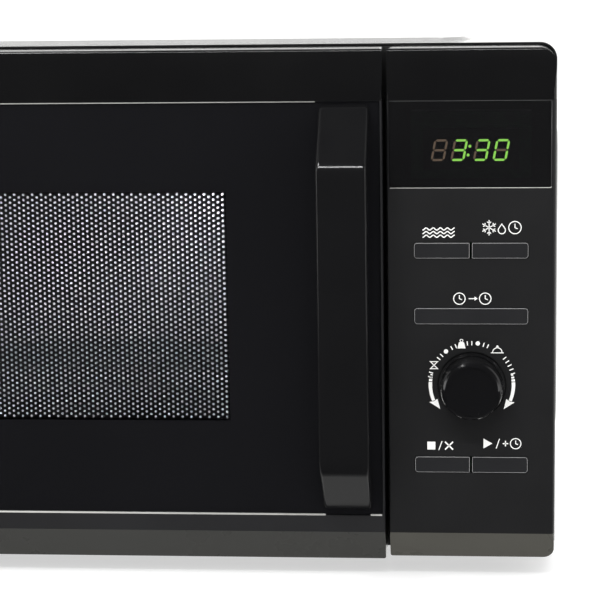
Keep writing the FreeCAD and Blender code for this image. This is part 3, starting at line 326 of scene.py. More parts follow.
def see_through(name, clear_colour, solid_colour, mask, rough=0.035):
    """Tinted pane: the mask's share of it is transparent and the rest is painted, glossy all over."""
    s = Shade(name)
    s.set(IOR=1.52)
    s.colour(s.blend(s.noise(9.0, 3.0), solid_colour, scaled(solid_colour, 1.4)))
    s.roughness(s.spread(s.noise(35.0, 4.0), rough, rough * 2.2))
    s.bump(s.noise(24.0, 2.0), 0.000012, 0.5)
    window = mask(s)
    clear = s.node("ShaderNodeBsdfTransparent")
    clear.inputs[0].default_value = (*clear_colour, 1.0)
    mixer = s.node("ShaderNodeMixShader")
    fresnel = s.node("ShaderNodeFresnel")
    fresnel.inputs["IOR"].default_value = 1.5
    s.link(s.math("MULTIPLY", window, s.math("SUBTRACT", 1.0, fresnel.outputs[0])), mixer.inputs["Fac"])
    s.link(s.shader.outputs[0], mixer.inputs[1])
    s.link(clear.outputs[0], mixer.inputs[2])
    s.link(mixer.outputs[0], s.tree.nodes["Material Output"].inputs["Surface"])
    return s


def inside_box(low_x, high_x, low_z, high_z, soft=0.2 * MM):
    """Mask that is 1 inside an upright rectangle in X and Z."""
    def mask(s):
        x, z = s.axis("X"), s.axis("Z")
        across = s.math("MULTIPLY", s.spread(x, 0.0, 1.0, low_x, low_x + soft),
                        s.spread(x, 1.0, 0.0, high_x - soft, high_x))
        upright = s.math("MULTIPLY", s.spread(z, 0.0, 1.0, low_z, low_z + soft),
                         s.spread(z, 1.0, 0.0, high_z - soft, high_z))
        return s.math("MULTIPLY", across, upright)
    return mask


def evenly(share):
    """Mask of one share all over, very slightly cloudy."""
    def mask(s):
        return s.spread(s.noise(30.0, 3.0), share * 0.98, share * 1.02)
    return mask


def glowing(name, colour, strength):
    """Display segment: lit evenly, slightly brighter in patches."""
    s = Shade(name)
    s.set(Base_Color=(*scaled(colour, 0.5), 1.0), Roughness=0.5)
    s.link(s.blend(s.noise(400.0, 2.0), scaled(colour, 0.9), colour), s.shader.inputs["Emission Color"])
    s.set(Emission_Strength=strength)
    return s


# ------------------------------------------------------------------ perforated window
HOLE_PITCH = 2.559 * MM                                  # along a column
COLUMN_PITCH = HOLE_PITCH * math.sqrt(3) / 2
HOLE_R = 0.67 * MM
COLUMNS, ROWS = 92, 44
DOTS_RIGHT, DOTS_TOP = 58.2 * MM, 184.1 * MM            # centre of the top right hole
DOTS_BOTTOM = DOTS_TOP - (ROWS - 1) * HOLE_PITCH
CLEAR_X, CLEAR_Z = (-138.0 * MM, 63.0 * MM), (77.7 * MM, 188.2 * MM)    # clear part of the printed door glass


def stitch(outer, inner, centre):
    """Triangles between two rings of (u, v) points round a centre, both anticlockwise."""
    def angle(p):
        return math.atan2(p[1] - centre[1], p[0] - centre[0]) % (2 * math.pi)
    outer = sorted(outer, key=angle)
    inner = sorted(inner, key=angle)
    triangles, i, j = [], 0, 0
    while i < len(outer) or j < len(inner):
        next_outer = angle(outer[i + 1]) if i + 1 < len(outer) else angle(outer[0]) + 2 * math.pi
        next_inner = angle(inner[j + 1]) if j + 1 < len(inner) else angle(inner[0]) + 2 * math.pi
        a, b = outer[i % len(outer)], inner[j % len(inner)]
        if j >= len(inner) or (i < len(outer) and next_outer <= next_inner):
            triangles.append((a, outer[(i + 1) % len(outer)], b))
            i += 1
        else:
            triangles.append((a, inner[(j + 1) % len(inner)], b))
            j += 1
    return triangles


def make_screen():
    """Perforated steel window of the door: staggered round holes right through the sheet."""
    mesh = bmesh.new()
    front, behind = SCREEN_LOW.y, SCREEN_HIGH.y
    known = {}

    def vertex(point, y):
        key = (round(point[0] * 1e6), round(point[1] * 1e6), y == front)
        if key not in known:
            known[key] = mesh.verts.new((point[0], y, point[1]))
        return known[key]

    def face(points, y):
        corners = [vertex(p, y) for p in points]
        mesh.faces.new(corners if y == front else corners[::-1])

    half_w, half_h = COLUMN_PITCH / 2, HOLE_PITCH / 2
    edges = {"top": [], "bottom": []}
    low_z, high_z = DOTS_BOTTOM - half_h, DOTS_TOP + half_h
    for column in range(COLUMNS):
        x = DOTS_RIGHT - column * COLUMN_PITCH
        short = column % 2
        left, right = x - half_w, x + half_w
        for row in range(ROWS - short):
            z = DOTS_TOP - (row + short / 2) * HOLE_PITCH
            ring = [(left, z - half_h), (right, z - half_h), (right, z), (right, z + half_h),
                    (left, z + half_h), (left, z)]
            hole = [(x + HOLE_R * math.cos(math.radians(a)), z + HOLE_R * math.sin(math.radians(a)))
                    for a in range(20, 380, 45)]
            for y in (front, behind):
                for triangle in stitch(ring, hole, (x, z)):
                    face(triangle, y)
            for a, b in zip(hole, hole[1:] + hole[:1]):
                mesh.faces.new([vertex(a, front), vertex(a, behind), vertex(b, behind), vertex(b, front)])
        if short:
            for y in (front, behind):
                for low, high in ((low_z, low_z + half_h), (high_z - half_h, high_z)):
                    face([(left, low), (right, low), (right, high), (left, high)], y)
        edges["top"].append((left, high_z))
        edges["bottom"].append((left, low_z))
    first_x, last_x = DOTS_RIGHT + half_w, DOTS_RIGHT - (COLUMNS - 1) * COLUMN_PITCH - half_w
    side_z = [low_z + i * half_h for i in range(2 * ROWS + 1)]
    out_low, out_high = (SCREEN_LOW.x, SCREEN_LOW.z), (SCREEN_HIGH.x, SCREEN_HIGH.z)
    top = [(first_x, high_z)] + edges["top"]
    bottom = [(first_x, low_z)] + edges["bottom"]
    corners = [out_low, (out_high[0], out_low[1]), out_high, (out_low[0], out_high[1])]
    for y in (front, behind):
        face([corners[0], corners[1]] + bottom, y)
        face([corners[3]] + top[::-1] + [corners[2]], y)
        face([corners[1], corners[2]] + [(first_x, z) for z in side_z[::-1]], y)
        face([corners[3], corners[0]] + [(last_x, z) for z in side_z], y)
    for a, b in zip(corners, corners[1:] + corners[:1]):
        mesh.faces.new([vertex(b, front), vertex(b, behind), vertex(a, behind), vertex(a, front)])
    bmesh.ops.recalc_face_normals(mesh, faces=mesh.faces)
    screen = finish_mesh(mesh, "perforated_screen", materials["screen"])
    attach(screen, "door")
    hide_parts("door_screen")


def finish_mesh(mesh, name, shade, smooth=False):
    """Object made of a bmesh, with its material."""
    data = bpy.data.meshes.new(name)
    mesh.to_mesh(data)
    mesh.free()
    if smooth:
        for polygon in data.polygons:
            polygon.use_smooth = True
    data.materials.append(shade.material)
    made = bpy.data.objects.new(name, data)
    bpy.context.scene.collection.objects.link(made)
    return made


# ------------------------------------------------------------------ flat print and display segments
PRINT_THICK = 0.06 * MM
MITRE_LIMIT = 0.35                                      # keeps the mitres of sharp corners short


class Print:
    """Thin raised shapes on an upright plane, drawn in millimetres from a centre."""

    def __init__(self, y):
        self.mesh = bmesh.new()
        self.y = y
        self.centre = (0.0, 0.0)

    def at(self, x, z):
        self.centre = (x, z)
        return self

    def shape(self, points):
        """Closed prism from one outline of (right, up) points in millimetres."""
        area = sum(a[0] * b[1] - b[0] * a[1] for a, b in zip(points, points[1:] + points[:1]))
        if area < 0:
            points = points[::-1]
        place = [(self.centre[0] + u * MM, self.centre[1] + v * MM) for u, v in points]
        front = [self.mesh.verts.new((x, self.y - PRINT_THICK, z)) for x, z in place]
        behind = [self.mesh.verts.new((x, self.y, z)) for x, z in place]
        self.mesh.faces.new(front)
        self.mesh.faces.new(behind[::-1])
        count = len(place)
        for i in range(count):
            j = (i + 1) % count
            self.mesh.faces.new([front[j], front[i], behind[i], behind[j]])

    def disc(self, u, v, r, count=20):
        self.shape([(u + r * math.cos(2 * math.pi * i / count), v + r * math.sin(2 * math.pi * i / count))
                    for i in range(count)])

    def stroke(self, points, width, closed=False):
        """Line of one width through the points, with mitred corners."""
        count = len(points)
        left, right = [], []
        for i, (u, v) in enumerate(points):
            before = points[i - 1] if i > 0 or closed else points[i]
            after = points[(i + 1) % count] if i < count - 1 or closed else points[i]
            first = Vector((u - before[0], v - before[1]))
            second = Vector((after[0] - u, after[1] - v))
            first = first.normalized() if first.length > 1e-9 else second.normalized()
            second = second.normalized() if second.length > 1e-9 else first
            middle = (first + second).normalized()
            reach = width / 2 / max(MITRE_LIMIT, middle.dot(first))
            left.append((u - middle.y * reach, v + middle.x * reach))
            right.append((u + middle.y * reach, v - middle.x * reach))
        for i in range(count if closed else count - 1):
            j = (i + 1) % count
            self.shape([right[i], right[j], left[j], left[i]])

    def arc(self, u, v, r, start, end, width, count=14):
        """Part of a ring, with angles in degrees anticlockwise from the right."""
        angles = [math.radians(start + (end - start) * i / count) for i in range(count + 1)]
        points = [(u + r * math.cos(a), v + r * math.sin(a)) for a in angles]
        if abs(end - start) >= 360:
            self.stroke(points[:-1], width, closed=True)
        else:
            self.stroke(points, width)

    def done(self, name, shade, body, slot):
        made = finish_mesh(self.mesh, name, shade)
        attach(made, body)


LINE = 0.42                                             # width of the printed lines, mm


def draw_waves(p):
    """Three wavy lines, the sign for microwave heating."""
    for v in (-1.7, 0.0, 1.7):
        p.stroke([(u / 4, v + 0.55 * math.sin(u / 4 * 1.9)) for u in range(-30, 31, 2)], LINE + 0.1)


def draw_flake(p, u, v, r):
    """Snow crystal with six branched arms."""
    for k in range(6):
        c, s = math.cos(math.radians(60 * k + 30)), math.sin(math.radians(60 * k + 30))
        p.stroke([(u, v), (u + r * c, v + r * s)], LINE)
        for side in (-1, 1):
            a = math.radians(60 * k + 30 + side * 50)
            base = (u + 0.55 * r * c, v + 0.55 * r * s)
            p.stroke([base, (base[0] + 0.34 * r * math.cos(a), base[1] + 0.34 * r * math.sin(a))], LINE)


def draw_clock(p, u, v, r):
    p.arc(u, v, r, 0, 360, LINE, 24)
    p.stroke([(u, v + 0.62 * r), (u, v), (u + 0.45 * r, v - 0.2 * r)], LINE)


def draw_drop(p, u, v, r):
    """Water drop outline."""
    outline = [(u, v + 1.7 * r)]
    angles = [math.radians(a) for a in range(25, -206, -23)]
    outline += [(u + r * math.cos(a), v + r * math.sin(a)) for a in angles]
    p.stroke(outline, LINE, closed=True)


def draw_weight(p, u, v, size):
    """Kitchen weight: a body that widens downwards with a ring on top."""
    p.shape([(u - size, v - size), (u + size, v - size), (u + 0.62 * size, v + 0.55 * size),
             (u - 0.62 * size, v + 0.55 * size)])
    p.arc(u, v + 0.95 * size, 0.36 * size, 0, 360, LINE * 0.8, 12)


def draw_glass_timer(p, u, v, size):
    """Hourglass."""
    corners = [(u - size, v + size), (u + size, v + size), (u - size, v - size), (u + size, v - size)]
    p.stroke(corners, LINE, True)


def draw_menu(p, u, v, size):
    """Covered dish."""
    p.arc(u, v - 0.35 * size, size, 0, 180, LINE, 14)
    p.stroke([(u - 1.35 * size, v - 0.45 * size), (u + 1.35 * size, v - 0.45 * size)], LINE)
    p.disc(u, v + 0.9 * size, 0.26 * size, 10)


def top_middle(node):
    """X of a node's middle and Z of its top."""
    low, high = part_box(node)
    return (low.x + high.x) / 2, high.z


def draw_labels(p):
    """Signs over the five keys."""
    label_up = 6.2 * MM
    x, z = top_middle("power_button")
    draw_waves(p.at(x - 1.0 * MM, z + 3.9 * MM))
    x, z = top_middle("defrost_button")
    p.at(x, z + label_up)
    draw_flake(p, -5.6, 0.0, 3.6)
    draw_drop(p, 0.3, -1.2, 1.7)
    draw_clock(p, 6.4, 0.0, 2.9)
    x, z = top_middle("clock_button")
    p.at(x, z + 3.6 * MM)
    draw_clock(p, -5.5, 0.0, 2.7)
    p.stroke([(-1.2, 0), (1.6, 0)], LINE)
    p.shape([(1.6, 1.0), (3.0, 0.0), (1.6, -1.0)])
    draw_clock(p, 6.6, 0.0, 2.7)
    x, z = top_middle("stop_button")
    p.at(x - 0.5 * MM, z + 4.4 * MM)
    p.shape([(-6.2, -1.9), (-2.4, -1.9), (-2.4, 1.9), (-6.2, 1.9)])
    p.stroke([(-0.8, -2.2), (0.8, 2.2)], LINE)
    p.stroke([(2.2, -1.9), (6.0, 1.9)], LINE + 0.25)
    p.stroke([(2.2, 1.9), (6.0, -1.9)], LINE + 0.25)
    x, z = top_middle("start_button")
    p.at(x, z + label_up - 0.6 * MM)
    p.shape([(-8.2, -2.4), (-4.0, 0.0), (-8.2, 2.4)])
    p.stroke([(-2.2, -2.4), (-0.6, 2.4)], LINE)
    p.stroke([(0.9, 0), (3.5, 0)], LINE + 0.15)
    p.stroke([(2.2, -1.3), (2.2, 1.3)], LINE + 0.15)
    draw_clock(p, 7.0, 0.0, 2.5)


ARC_R = 19.6                                            # radius of the signs round the dial, mm


def polar(degrees, r):
    return r * math.cos(math.radians(degrees)), r * math.sin(math.radians(degrees))


def draw_dial_ring(p):
    """Tapered arrows with dashes down both sides of the dial, and signs with ticks and dots over it."""
    p.at(KNOB_X, KNOB_Z + 0.2 * MM)
    for side in (-1, 1):
        def turned(degrees, r):
            u, v = polar(degrees, r)
            return side * u, v
        steps = 10
        start, end = 4.0, -23.0
        along = [(start + (end - start) * i / steps, 0.85 - 0.1 * i / steps) for i in range(steps + 1)]
        inner = [turned(degrees, ARC_R - half) for degrees, half in along]
        outer = [turned(degrees, ARC_R + half) for degrees, half in along]
        for i in range(steps):
            p.shape([inner[i], inner[i + 1], outer[i + 1], outer[i]])
        p.shape([turned(-22.5, ARC_R - 2.0), turned(-38.0, ARC_R - 0.6), turned(-22.5, ARC_R + 2.2),
                 turned(-24.0, ARC_R)])
        for number, (first, last) in enumerate(((5.0, 8.2), (9.4, 12.0), (13.4, 15.2))):
            width = 0.8 - 0.12 * number
            p.shape([turned(first, ARC_R - width), turned(last, ARC_R - width), turned(last, ARC_R + width),
                     turned(first, ARC_R + width)])
    for degrees in (127.0, 82.0):
        p.disc(*polar(degrees, ARC_R + 0.6), 1.05)
    tick_angles = (169, 163, 141, 135, 118, 112, 96, 90, 74, 68, 40, 34, 28, 22, 16)
    for degrees in tick_angles:
        p.stroke([polar(degrees, ARC_R - 0.5), polar(degrees, ARC_R + 1.5)], 0.5)
    draw_glass_timer(p, *polar(152.0, ARC_R + 0.6), 1.7)
    draw_weight(p, *polar(104.0, ARC_R + 0.5), 1.9)
    draw_menu(p, *polar(54.0, ARC_R + 0.8), 2.2)


def make_print():
    p = Print(FRONT)
    draw_labels(p)
    draw_dial_ring(p)
    p.done("panel_print", materials["print"], "oven", "white_plastic")


DIGIT_LOW, DIGIT_HIGH = (159.1, 201.5), (196.3, 211.7)  # corners of the row of digits, mm
SLANT = 0.19                                            # sideways lean of a digit over its height
DIGIT_STARTS = (0.0, 9.25, 19.75, 28.9)                 # left edges of the four digits, mm
SEGMENT_BAR = 1.05                                      # width of a segment, mm
SEGMENT_GAP = 0.22                                      # from a segment's end to its corner, mm
DIGIT_DEPTH = 7.6 * MM                                  # digits behind the panel's face, at most
SEGMENTS = {"8": "abcdefg", "3": "abcdg", "0": "abcdef"}


def draw_segment(p, letter, u, v, width, height, bar):
    """One of seven segments of a digit, as a six-sided bar, leaning by the slant."""
    half = height / 2
    ends = {
        "a": ((u, v + height), (u + width, v + height)), "g": ((u, v + half), (u + width, v + half)),
        "d": ((u, v), (u + width, v)), "f": ((u, v + half), (u, v + height)),
        "b": ((u + width, v + half), (u + width, v + height)), "e": ((u, v), (u, v + half)),
        "c": ((u + width, v), (u + width, v + half)),
    }
    (u0, v0), (u1, v1) = ends[letter]
    along = Vector((u1 - u0, v1 - v0)).normalized()
    across = Vector((-along.y, along.x)) * bar / 2
    start, end = Vector((u0, v0)) + along * SEGMENT_GAP, Vector((u1, v1)) - along * SEGMENT_GAP
    tip = along * bar / 2
    outline = [start, start + tip - across, end - tip - across, end, end - tip + across, start + tip + across]
    p.shape([(q.x + (q.y - v) * SLANT, q.y) for q in outline])


def make_digits():
    """Clock digits behind the smoked lens, with their unlit segments, which glow dimly as painted light."""
    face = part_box("board_components")[0].y
    y = min(face, FRONT + DIGIT_DEPTH)
    lit, dark = Print(y), Print(y)
    bar = SEGMENT_BAR
    height = DIGIT_HIGH[1] - DIGIT_LOW[1] - bar
    lean = height * SLANT
    width = DIGIT_HIGH[0] - DIGIT_LOW[0] - DIGIT_STARTS[-1] - lean - bar
    for p in (lit, dark):
        p.at(DIGIT_LOW[0] * MM, DIGIT_LOW[1] * MM)
    for start, digit, shown in zip(DIGIT_STARTS, "8330", (False, True, True, True)):
        for letter in "abcdefg":
            on = shown and letter in SEGMENTS[digit]
            draw_segment(lit if on else dark, letter, start + bar / 2, bar / 2, width, height, bar)
    colon = DIGIT_STARTS[1] + width + lean / 2 + 2.3
    lit.disc(colon + 0.45, 0.70 * height + bar / 2, 0.72, 16)
    lit.disc(colon - 0.40, 0.25 * height + bar / 2, 0.72, 16)
    lit.done("clock_digits_lit", materials["digit_lit"], "oven", "lens")
    dark.done("clock_digits_unlit_painted_glow", materials["digit_unlit_painted_glow"], "oven", "lens")


# ------------------------------------------------------------------ beads of painted highlight on edges, which the solids leave out
BEAD_MITRE_LIMIT = 0.5
KEY_HIGHLIGHT_R = 0.14 * MM                                      # radius of the painted highlight on a key's edge


def bead(name, path, radius, shade, body, closed=False):
    """Round bead along a straight or bent path of points."""
    mesh = bmesh.new()
    sides = 12
    rings = []
    count = len(path)
    for i, point in enumerate(path):
        before = path[i - 1] if i or closed else path[0]
        after = path[(i + 1) % count] if i < count - 1 or closed else path[i]
        along = (Vector(after) - Vector(before)).normalized()
        across = along.cross(Vector((0, 1, 0))).normalized()
        first = (Vector(point) - Vector(before)).normalized() if i or closed else along
        reach = radius / max(BEAD_MITRE_LIMIT, along.dot(first))
        ring = []
        for k in range(sides):
            a = 2 * math.pi * k / sides
            ring.append(mesh.verts.new(Vector(point) + across * reach * math.cos(a)
                                       + Vector((0, 1, 0)) * radius * math.sin(a)))
        rings.append(ring)
    for a, b in zip(rings, rings[1:] + rings[:1] if closed else rings[1:]):
        for k in range(sides):
            m = (k + 1) % sides
            mesh.faces.new([a[k], a[m], b[m], b[k]])
    if not closed:
        mesh.faces.new(rings[0][::-1])
        mesh.faces.new(rings[-1])
    bmesh.ops.recalc_face_normals(mesh, faces=mesh.faces)
    made = finish_mesh(mesh, name, shade, smooth=True)
    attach(made, body)


KEY_COLLAR = 0.9 * MM                                   # the key's hidden collar reaches out past its cap
KEY_INSET = 0.2 * MM                                    # from the cap's outline in to its painted edge highlight
KEY_CORNERS = {                                         # rounding of each key's left and right corners, mm
    "power_button": (1.5, 0.4), "defrost_button": (0.4, 1.5), "clock_button": (1.5, 1.5),
    "stop_button": (1.5, 0.4), "start_button": (0.4, 1.5),
}


def key_edge_highlights():
    """Thin bead of painted highlight round the front edge of each key, with rounder corners at the row's two
    ends.
    """
    for node, (left_round, right_round) in KEY_CORNERS.items():
        low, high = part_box(node)
        left = low.x + (KEY_COLLAR if left_round > 1 else 0)
        right = high.x - (KEY_COLLAR if right_round > 1 else 0)
        bottom, top = low.z + KEY_COLLAR, high.z - KEY_COLLAR
        path = []
        corners = ((left, bottom, -1, -1, left_round), (right, bottom, 1, -1, right_round),
                   (right, top, 1, 1, right_round), (left, top, -1, 1, left_round))
        for x, z, side, up, corner in corners:
            r = corner * MM - KEY_INSET
            middle_x, middle_z = x - side * corner * MM, z - up * corner * MM
            start = math.degrees(math.atan2(up, side)) - 45
            for step in range(5):
                a = math.radians(start + 22.5 * step)
                path.append((middle_x + r * math.cos(a), low.y + KEY_INSET, middle_z + r * math.sin(a)))
        name = node.replace("button", "edge")
        bead(name, path, KEY_HIGHLIGHT_R, materials["rim"], node, closed=True)


def make_painted_highlights():
    """Beads of painted highlight: bright along the glass and under the display lens, dimmer on the lens's
    other edges, and round the keys; the glass's bottom bead breaks under the handle as painted shade.
    """
    key_edge_highlights()
    y = FRONT + 0.55 * MM
    glass_left, glass_right = GLASS_LOW.x + 0.4 * MM, GLASS_HIGH.x - 0.2 * MM
    low, high = GLASS_LOW.z - 0.1 * MM, GLASS_HIGH.z + 0.1 * MM
    # The bright beads stand in for light caught on the glass's edges: painted highlight. The bottom one
    # breaks under the handle as painted shade of the handle.
    bead("glass_bead_bottom", [(glass_left, y, low), (HANDLE_LOW.x + 1 * MM, y, low)], 0.6 * MM,
         materials["bead_highlight"], "door")
    bead("glass_bead_corner", [(HANDLE_HIGH.x - 1 * MM, y, low), (glass_right, y, low)], 0.6 * MM,
         materials["bead_highlight"], "door")
    bead("glass_bead_top", [(glass_left, y, high), (HANDLE_LOW.x - 1.5 * MM, y, high)], 0.42 * MM,
         materials["bead_highlight"], "door")
    y = FRONT + 0.25 * MM
    left, right = LENS_LOW.x + 0.3 * MM, LENS_HIGH.x + 0.05 * MM
    low, high = LENS_LOW.z - 0.05 * MM, LENS_HIGH.z - 0.1 * MM
    corner = [(right - 0.6 * MM, y, low), (right - 0.15 * MM, y, low + 0.15 * MM), (right, y, low + 0.6 * MM)]
    # Beads on the lens edges are painted highlights: bright under it, dimmer on its side and top.
    bead("lens_bead_low", [(left, y, low)] + corner, 0.26 * MM, materials["bead_highlight"], "oven")
    bead("lens_bead_side", [corner[2], (right, y, high)], 0.15 * MM, materials["dim_bead_highlight"], "oven")
    bead("lens_bead_high", [(left, y, high), (right, y, high)], 0.12 * MM, materials["dim_bead_highlight"],
         "oven")


# ------------------------------------------------------------------ materials by node
def make_materials():
    window = inside_box(*CLEAR_X, *CLEAR_Z)
    return {
        # each fascia's second colour is its bevel, lighter as a painted reflection of the floor
        "door_fascia": fascia_black("door_fascia", (0.0165, 0.0165, 0.0180), (0.046, 0.046, 0.043)),
        "panel_fascia": fascia_black("panel_fascia", (0.0106, 0.0107, 0.0115), (0.070, 0.068, 0.059)),
        "handle": gloss_black("handle_gloss", (0.0060, 0.0060, 0.0065), 0.14),
        "knob": gloss_black("dial_gloss", (0.0050, 0.0050, 0.0055), 0.11),
        "glass": see_through("smoked_glass", (0.97, 0.97, 0.98), (0.0052, 0.0052, 0.0060), window),
        "lens": see_through("smoked_lens", (0.80, 0.80, 0.80), (0.0085, 0.0085, 0.0090), evenly(0.5)),
        "key": moulded("key_satin", (0.0155, 0.0158, 0.0175), 0.34, grain=1900.0, depth=0.00002),
        "print": moulded("white_print", (0.80, 0.80, 0.78), 0.5, grain=2600.0, depth=0.000006, shade=0.03),
        "digit_lit": glowing("segment_lit", (0.42, 1.0, 0.16), 4.2),
        # unlit segments are given a dim brown glow: painted light, since they are not lit
        "digit_unlit_painted_glow": glowing("segment_unlit_painted_glow", (0.16, 0.115, 0.080), 4.3),
        # painted highlight beads along the glass and under the lens
        "bead_highlight": moulded("painted_highlight_satin", (0.42, 0.42, 0.40), 0.35, 1500.0, 0.00001, shade=0.15, cloud=50.0),
        # painted highlight round the keys' edges
        "rim": moulded("key_edge_painted_highlight", (0.26, 0.26, 0.26), 0.38, 1800.0, 0.00001, shade=0.2, cloud=60.0),
        # dimmer painted highlight beads on the lens's side and top
        "dim_bead_highlight": moulded("dim_painted_highlight", (0.10, 0.10, 0.10), 0.38, 1800.0, 0.00001, shade=0.3, cloud=60.0),
        "cabinet": powder_coat("cabinet_powder"),
        "galvanised": galvanised("galvanised_sheet"),
        "enamel": enamel("cavity_enamel"),
        "screen": moulded("screen_paint", (0.012, 0.012, 0.012), 0.38, grain=1600.0, depth=0.00003),
        "matt": moulded("matt_black", (0.020, 0.020, 0.021), 0.5, grain=1500.0, depth=0.00005),
        "white": moulded("white_moulding", (0.72, 0.72, 0.69), 0.42, grain=900.0, shade=0.04),
        "red": moulded("red_moulding", (0.50, 0.035, 0.025), 0.4, shade=0.06),
        "grey": moulded("grey_moulding", (0.24, 0.25, 0.26), 0.45, shade=0.08),
        "rubber": moulded("black_rubber", (0.018, 0.018, 0.018), 0.75, grain=700.0, depth=0.00008),
        "screw": machined("black_zinc", (0.09, 0.09, 0.09), 0.34, "Z", 0.0004),
        "steel": machined("bright_steel", (0.60, 0.60, 0.60), 0.25, "Y", 0.0005),
        "can": machined("drawn_aluminium", (0.72, 0.72, 0.73), 0.28, "Y", 0.0009),
        "core": stacked("core_laminations", (0.13, 0.13, 0.14), "Y", 0.0010, 0.0001, 0.6),
        "fan_core": stacked("motor_laminations", (0.16, 0.16, 0.17), "Y", 0.0010, 0.0001, 0.6),
        "winding": stacked("copper_winding", (0.42, 0.16, 0.06), "Z", 0.0012, 0.0003, 0.6, 0.3),
        "tape": moulded("winding_tape", (0.55, 0.38, 0.06), 0.4, grain=300.0, depth=0.00008),
        "mica": mica("mica_board"),
        "board": circuit_board("circuit_board"),
        "tray": clear_glass("tray_glass", (0.86, 0.94, 0.92)),
        "bulb": clear_glass("bulb_glass", (0.98, 0.95, 0.90)),
    }


LOOKS = {
    "door_fascia": ("door_frame",),
    "panel_fascia": ("control_bezel",),
    "handle": ("door_handle",),
    "knob": ("dial_knob",),
    "glass": ("door_glass",),
    "lens": ("display_lens",),
    "key": ("power_button", "defrost_button", "clock_button", "stop_button", "start_button"),
    "cabinet": ("cabinet",),
    "galvanised": ("rear_panel", "base_plate", "waveguide", "lamp_socket", "magnetron_casing",
                   "capacitor_clamp", "hinge_brackets", "turntable_motor"),
    "enamel": ("cavity_box",),
    "screen": ("door_choke_frame",),
    "matt": ("front_plate", "choke_cover", "door_latch", "rear_spacers", "hv_diode", "interlock_switches",
             "cord_gland", "board_components", "thermal_cutouts"),
    "white": ("turntable_shaft", "turntable_coupler", "roller_ring", "roller_1", "roller_2", "roller_3",
              "interlock_bracket", "interlock_lever"),
    "red": ("switch_plungers",),
    "grey": ("fan_housing", "fan_blade"),
    "rubber": ("feet",),
    "screw": ("cabinet_screws",),
    "steel": ("handle_screws", "latch_spring", "fan_shaft", "encoder_shaft"),
    "can": ("hv_capacitor", "magnetron_core"),
    "core": ("transformer_core",),
    "fan_core": ("fan_motor_core",),
    "winding": ("transformer_windings",),
    "tape": ("fan_motor_coil",),
    "mica": ("waveguide_cover",),
    "board": ("control_board", "noise_filter"),
    "tray": ("glass_tray",),
    "bulb": ("oven_lamp",),
}


def dress_nodes():
    for look, nodes in LOOKS.items():
        for node in nodes:
            piece = NODES[node]
            if not piece.material_slots:
                piece.data.materials.append(materials[look].material)
            for slot in piece.material_slots:
                slot.material = materials[look].material


# ------------------------------------------------------------------ studio
FLOOR_REACH = 14.0                                      # from the oven to each edge of the floor, m


def make_floor():
    """Pale floor under and round the oven. Its glossy faces see the surroundings instead."""
    s = Shade("studio_floor")
    s.colour(s.blend(s.noise(3.0, 3.0), (0.49, 0.49, 0.49), (0.52, 0.52, 0.52)))
    s.set(Emission_Color=(1.0, 1.0, 1.0, 1.0), Emission_Strength=0.55)
    s.roughness(s.spread(s.noise(40.0, 3.0), 0.75, 0.85))
    mesh = bmesh.new()
    r = FLOOR_REACH
    mesh.faces.new([mesh.verts.new((x, y, 0.0)) for x, y in ((-r, -r), (r, -r), (r, r), (-r, r))])
    floor = finish_mesh(mesh, "floor", s)
    floor.visible_glossy = False


def area_light(name, at, target, width, height, power):
    data = bpy.data.lights.new(name, "AREA")
    data.shape, data.size, data.size_y = "RECTANGLE", width, height
    data.energy = power
    made = bpy.data.objects.new(name, data)
    made.location = at
    made.rotation_mode = "QUATERNION"
    made.rotation_quaternion = (Vector(target) - Vector(at)).to_track_quat("-Z", "Y")
    bpy.context.scene.collection.objects.link(made)


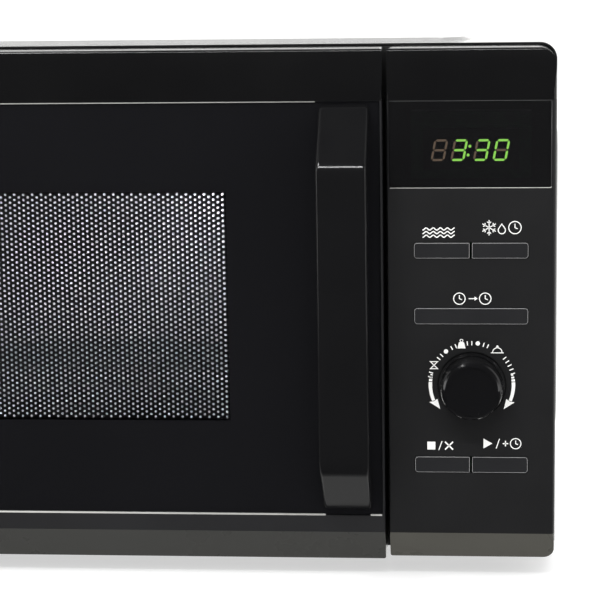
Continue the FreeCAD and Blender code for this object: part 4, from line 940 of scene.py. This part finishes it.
def make_world():
    """White surroundings to the eye. Glossy faces see them grow from dark in front to white behind."""
    world = bpy.data.worlds.new("studio")
    world.use_nodes = True
    tree = world.node_tree
    tree.nodes.clear()
    out = tree.nodes.new("ShaderNodeOutputWorld")
    path = tree.nodes.new("ShaderNodeLightPath")
    coords = tree.nodes.new("ShaderNodeTexCoord")
    split = tree.nodes.new("ShaderNodeSeparateXYZ")
    tree.links.new(coords.outputs["Generated"], split.inputs[0])
    level = tree.nodes.new("ShaderNodeMapRange")
    level.interpolation_type = "SMOOTHSTEP"
    for key, value in (("From Min", -0.30), ("From Max", 0.97), ("To Min", 0.010), ("To Max", 1.35)):
        level.inputs[key].default_value = value
    tree.links.new(split.outputs["Y"], level.inputs["Value"])
    seen = tree.nodes.new("ShaderNodeBackground")
    seen.inputs["Color"].default_value = (1.0, 1.0, 1.0, 1.0)
    seen.inputs["Strength"].default_value = 1.0
    mirrored = tree.nodes.new("ShaderNodeBackground")
    mirrored.inputs["Color"].default_value = (1.0, 1.0, 0.985, 1.0)
    tree.links.new(level.outputs[0], mirrored.inputs["Strength"])
    soft = tree.nodes.new("ShaderNodeBackground")
    soft.inputs["Color"].default_value = (1.0, 1.0, 1.0, 1.0)
    soft.inputs["Strength"].default_value = 1.12
    first = tree.nodes.new("ShaderNodeMixShader")
    tree.links.new(path.outputs["Is Glossy Ray"], first.inputs["Fac"])
    tree.links.new(soft.outputs[0], first.inputs[1])
    tree.links.new(mirrored.outputs[0], first.inputs[2])
    second = tree.nodes.new("ShaderNodeMixShader")
    tree.links.new(path.outputs["Is Camera Ray"], second.inputs["Fac"])
    tree.links.new(first.outputs[0], second.inputs[1])
    tree.links.new(seen.outputs[0], second.inputs[2])
    tree.links.new(second.outputs[0], out.inputs["Surface"])
    bpy.context.scene.world = world


def make_lights():
    """Soft boxes over and beside the oven, and the lit lamp with its scattered light inside the cavity."""
    centre = (0.0, 0.0, 0.12)
    area_light("softbox_back", (0.0, 0.75, 1.5), centre, 2.0, 1.0, 16.0)
    area_light("strip_high", (-0.1, -1.3, 1.45), centre, 1.5, 0.08, 14.0)
    area_light("softbox_left", (-0.45, -0.75, 1.5), centre, 0.3, 0.3, 5.0)
    area_light("strip_left", (-1.7, -0.75, 0.5), centre, 0.25, 1.5, 4.0)
    area_light("strip_right", (1.7, -0.6, 0.5), centre, 0.25, 1.5, 2.5)
    # the lamp high on the right wall, and the light that the walls throw back, low on the left
    lamp_at = (CAVITY_HIGH.x - 20 * MM, FRONT + 241 * MM, CAVITY_HIGH.z - 28 * MM)
    scatter_at = (CAVITY_LOW.x + 70 * MM, FRONT + 160 * MM, CAVITY_LOW.z + 60 * MM)
    inside = (("cavity_lamp", lamp_at, 2.1, 0.02), ("cavity_scatter", scatter_at, 1.1, 0.04))
    for name, at, power, radius in inside:
        lamp = bpy.data.lights.new(name, "POINT")
        lamp.energy, lamp.color, lamp.shadow_soft_size = power, (1.0, 0.97, 0.99), radius
        made = bpy.data.objects.new(name, lamp)
        made.location = at
        bpy.context.scene.collection.objects.link(made)


bpy.context.scene.view_settings.view_transform = "Standard"
make_camera()
materials = make_materials()
dress_nodes()
make_screen()
make_print()
make_digits()
make_painted_highlights()
make_floor()
make_world()
make_lights()
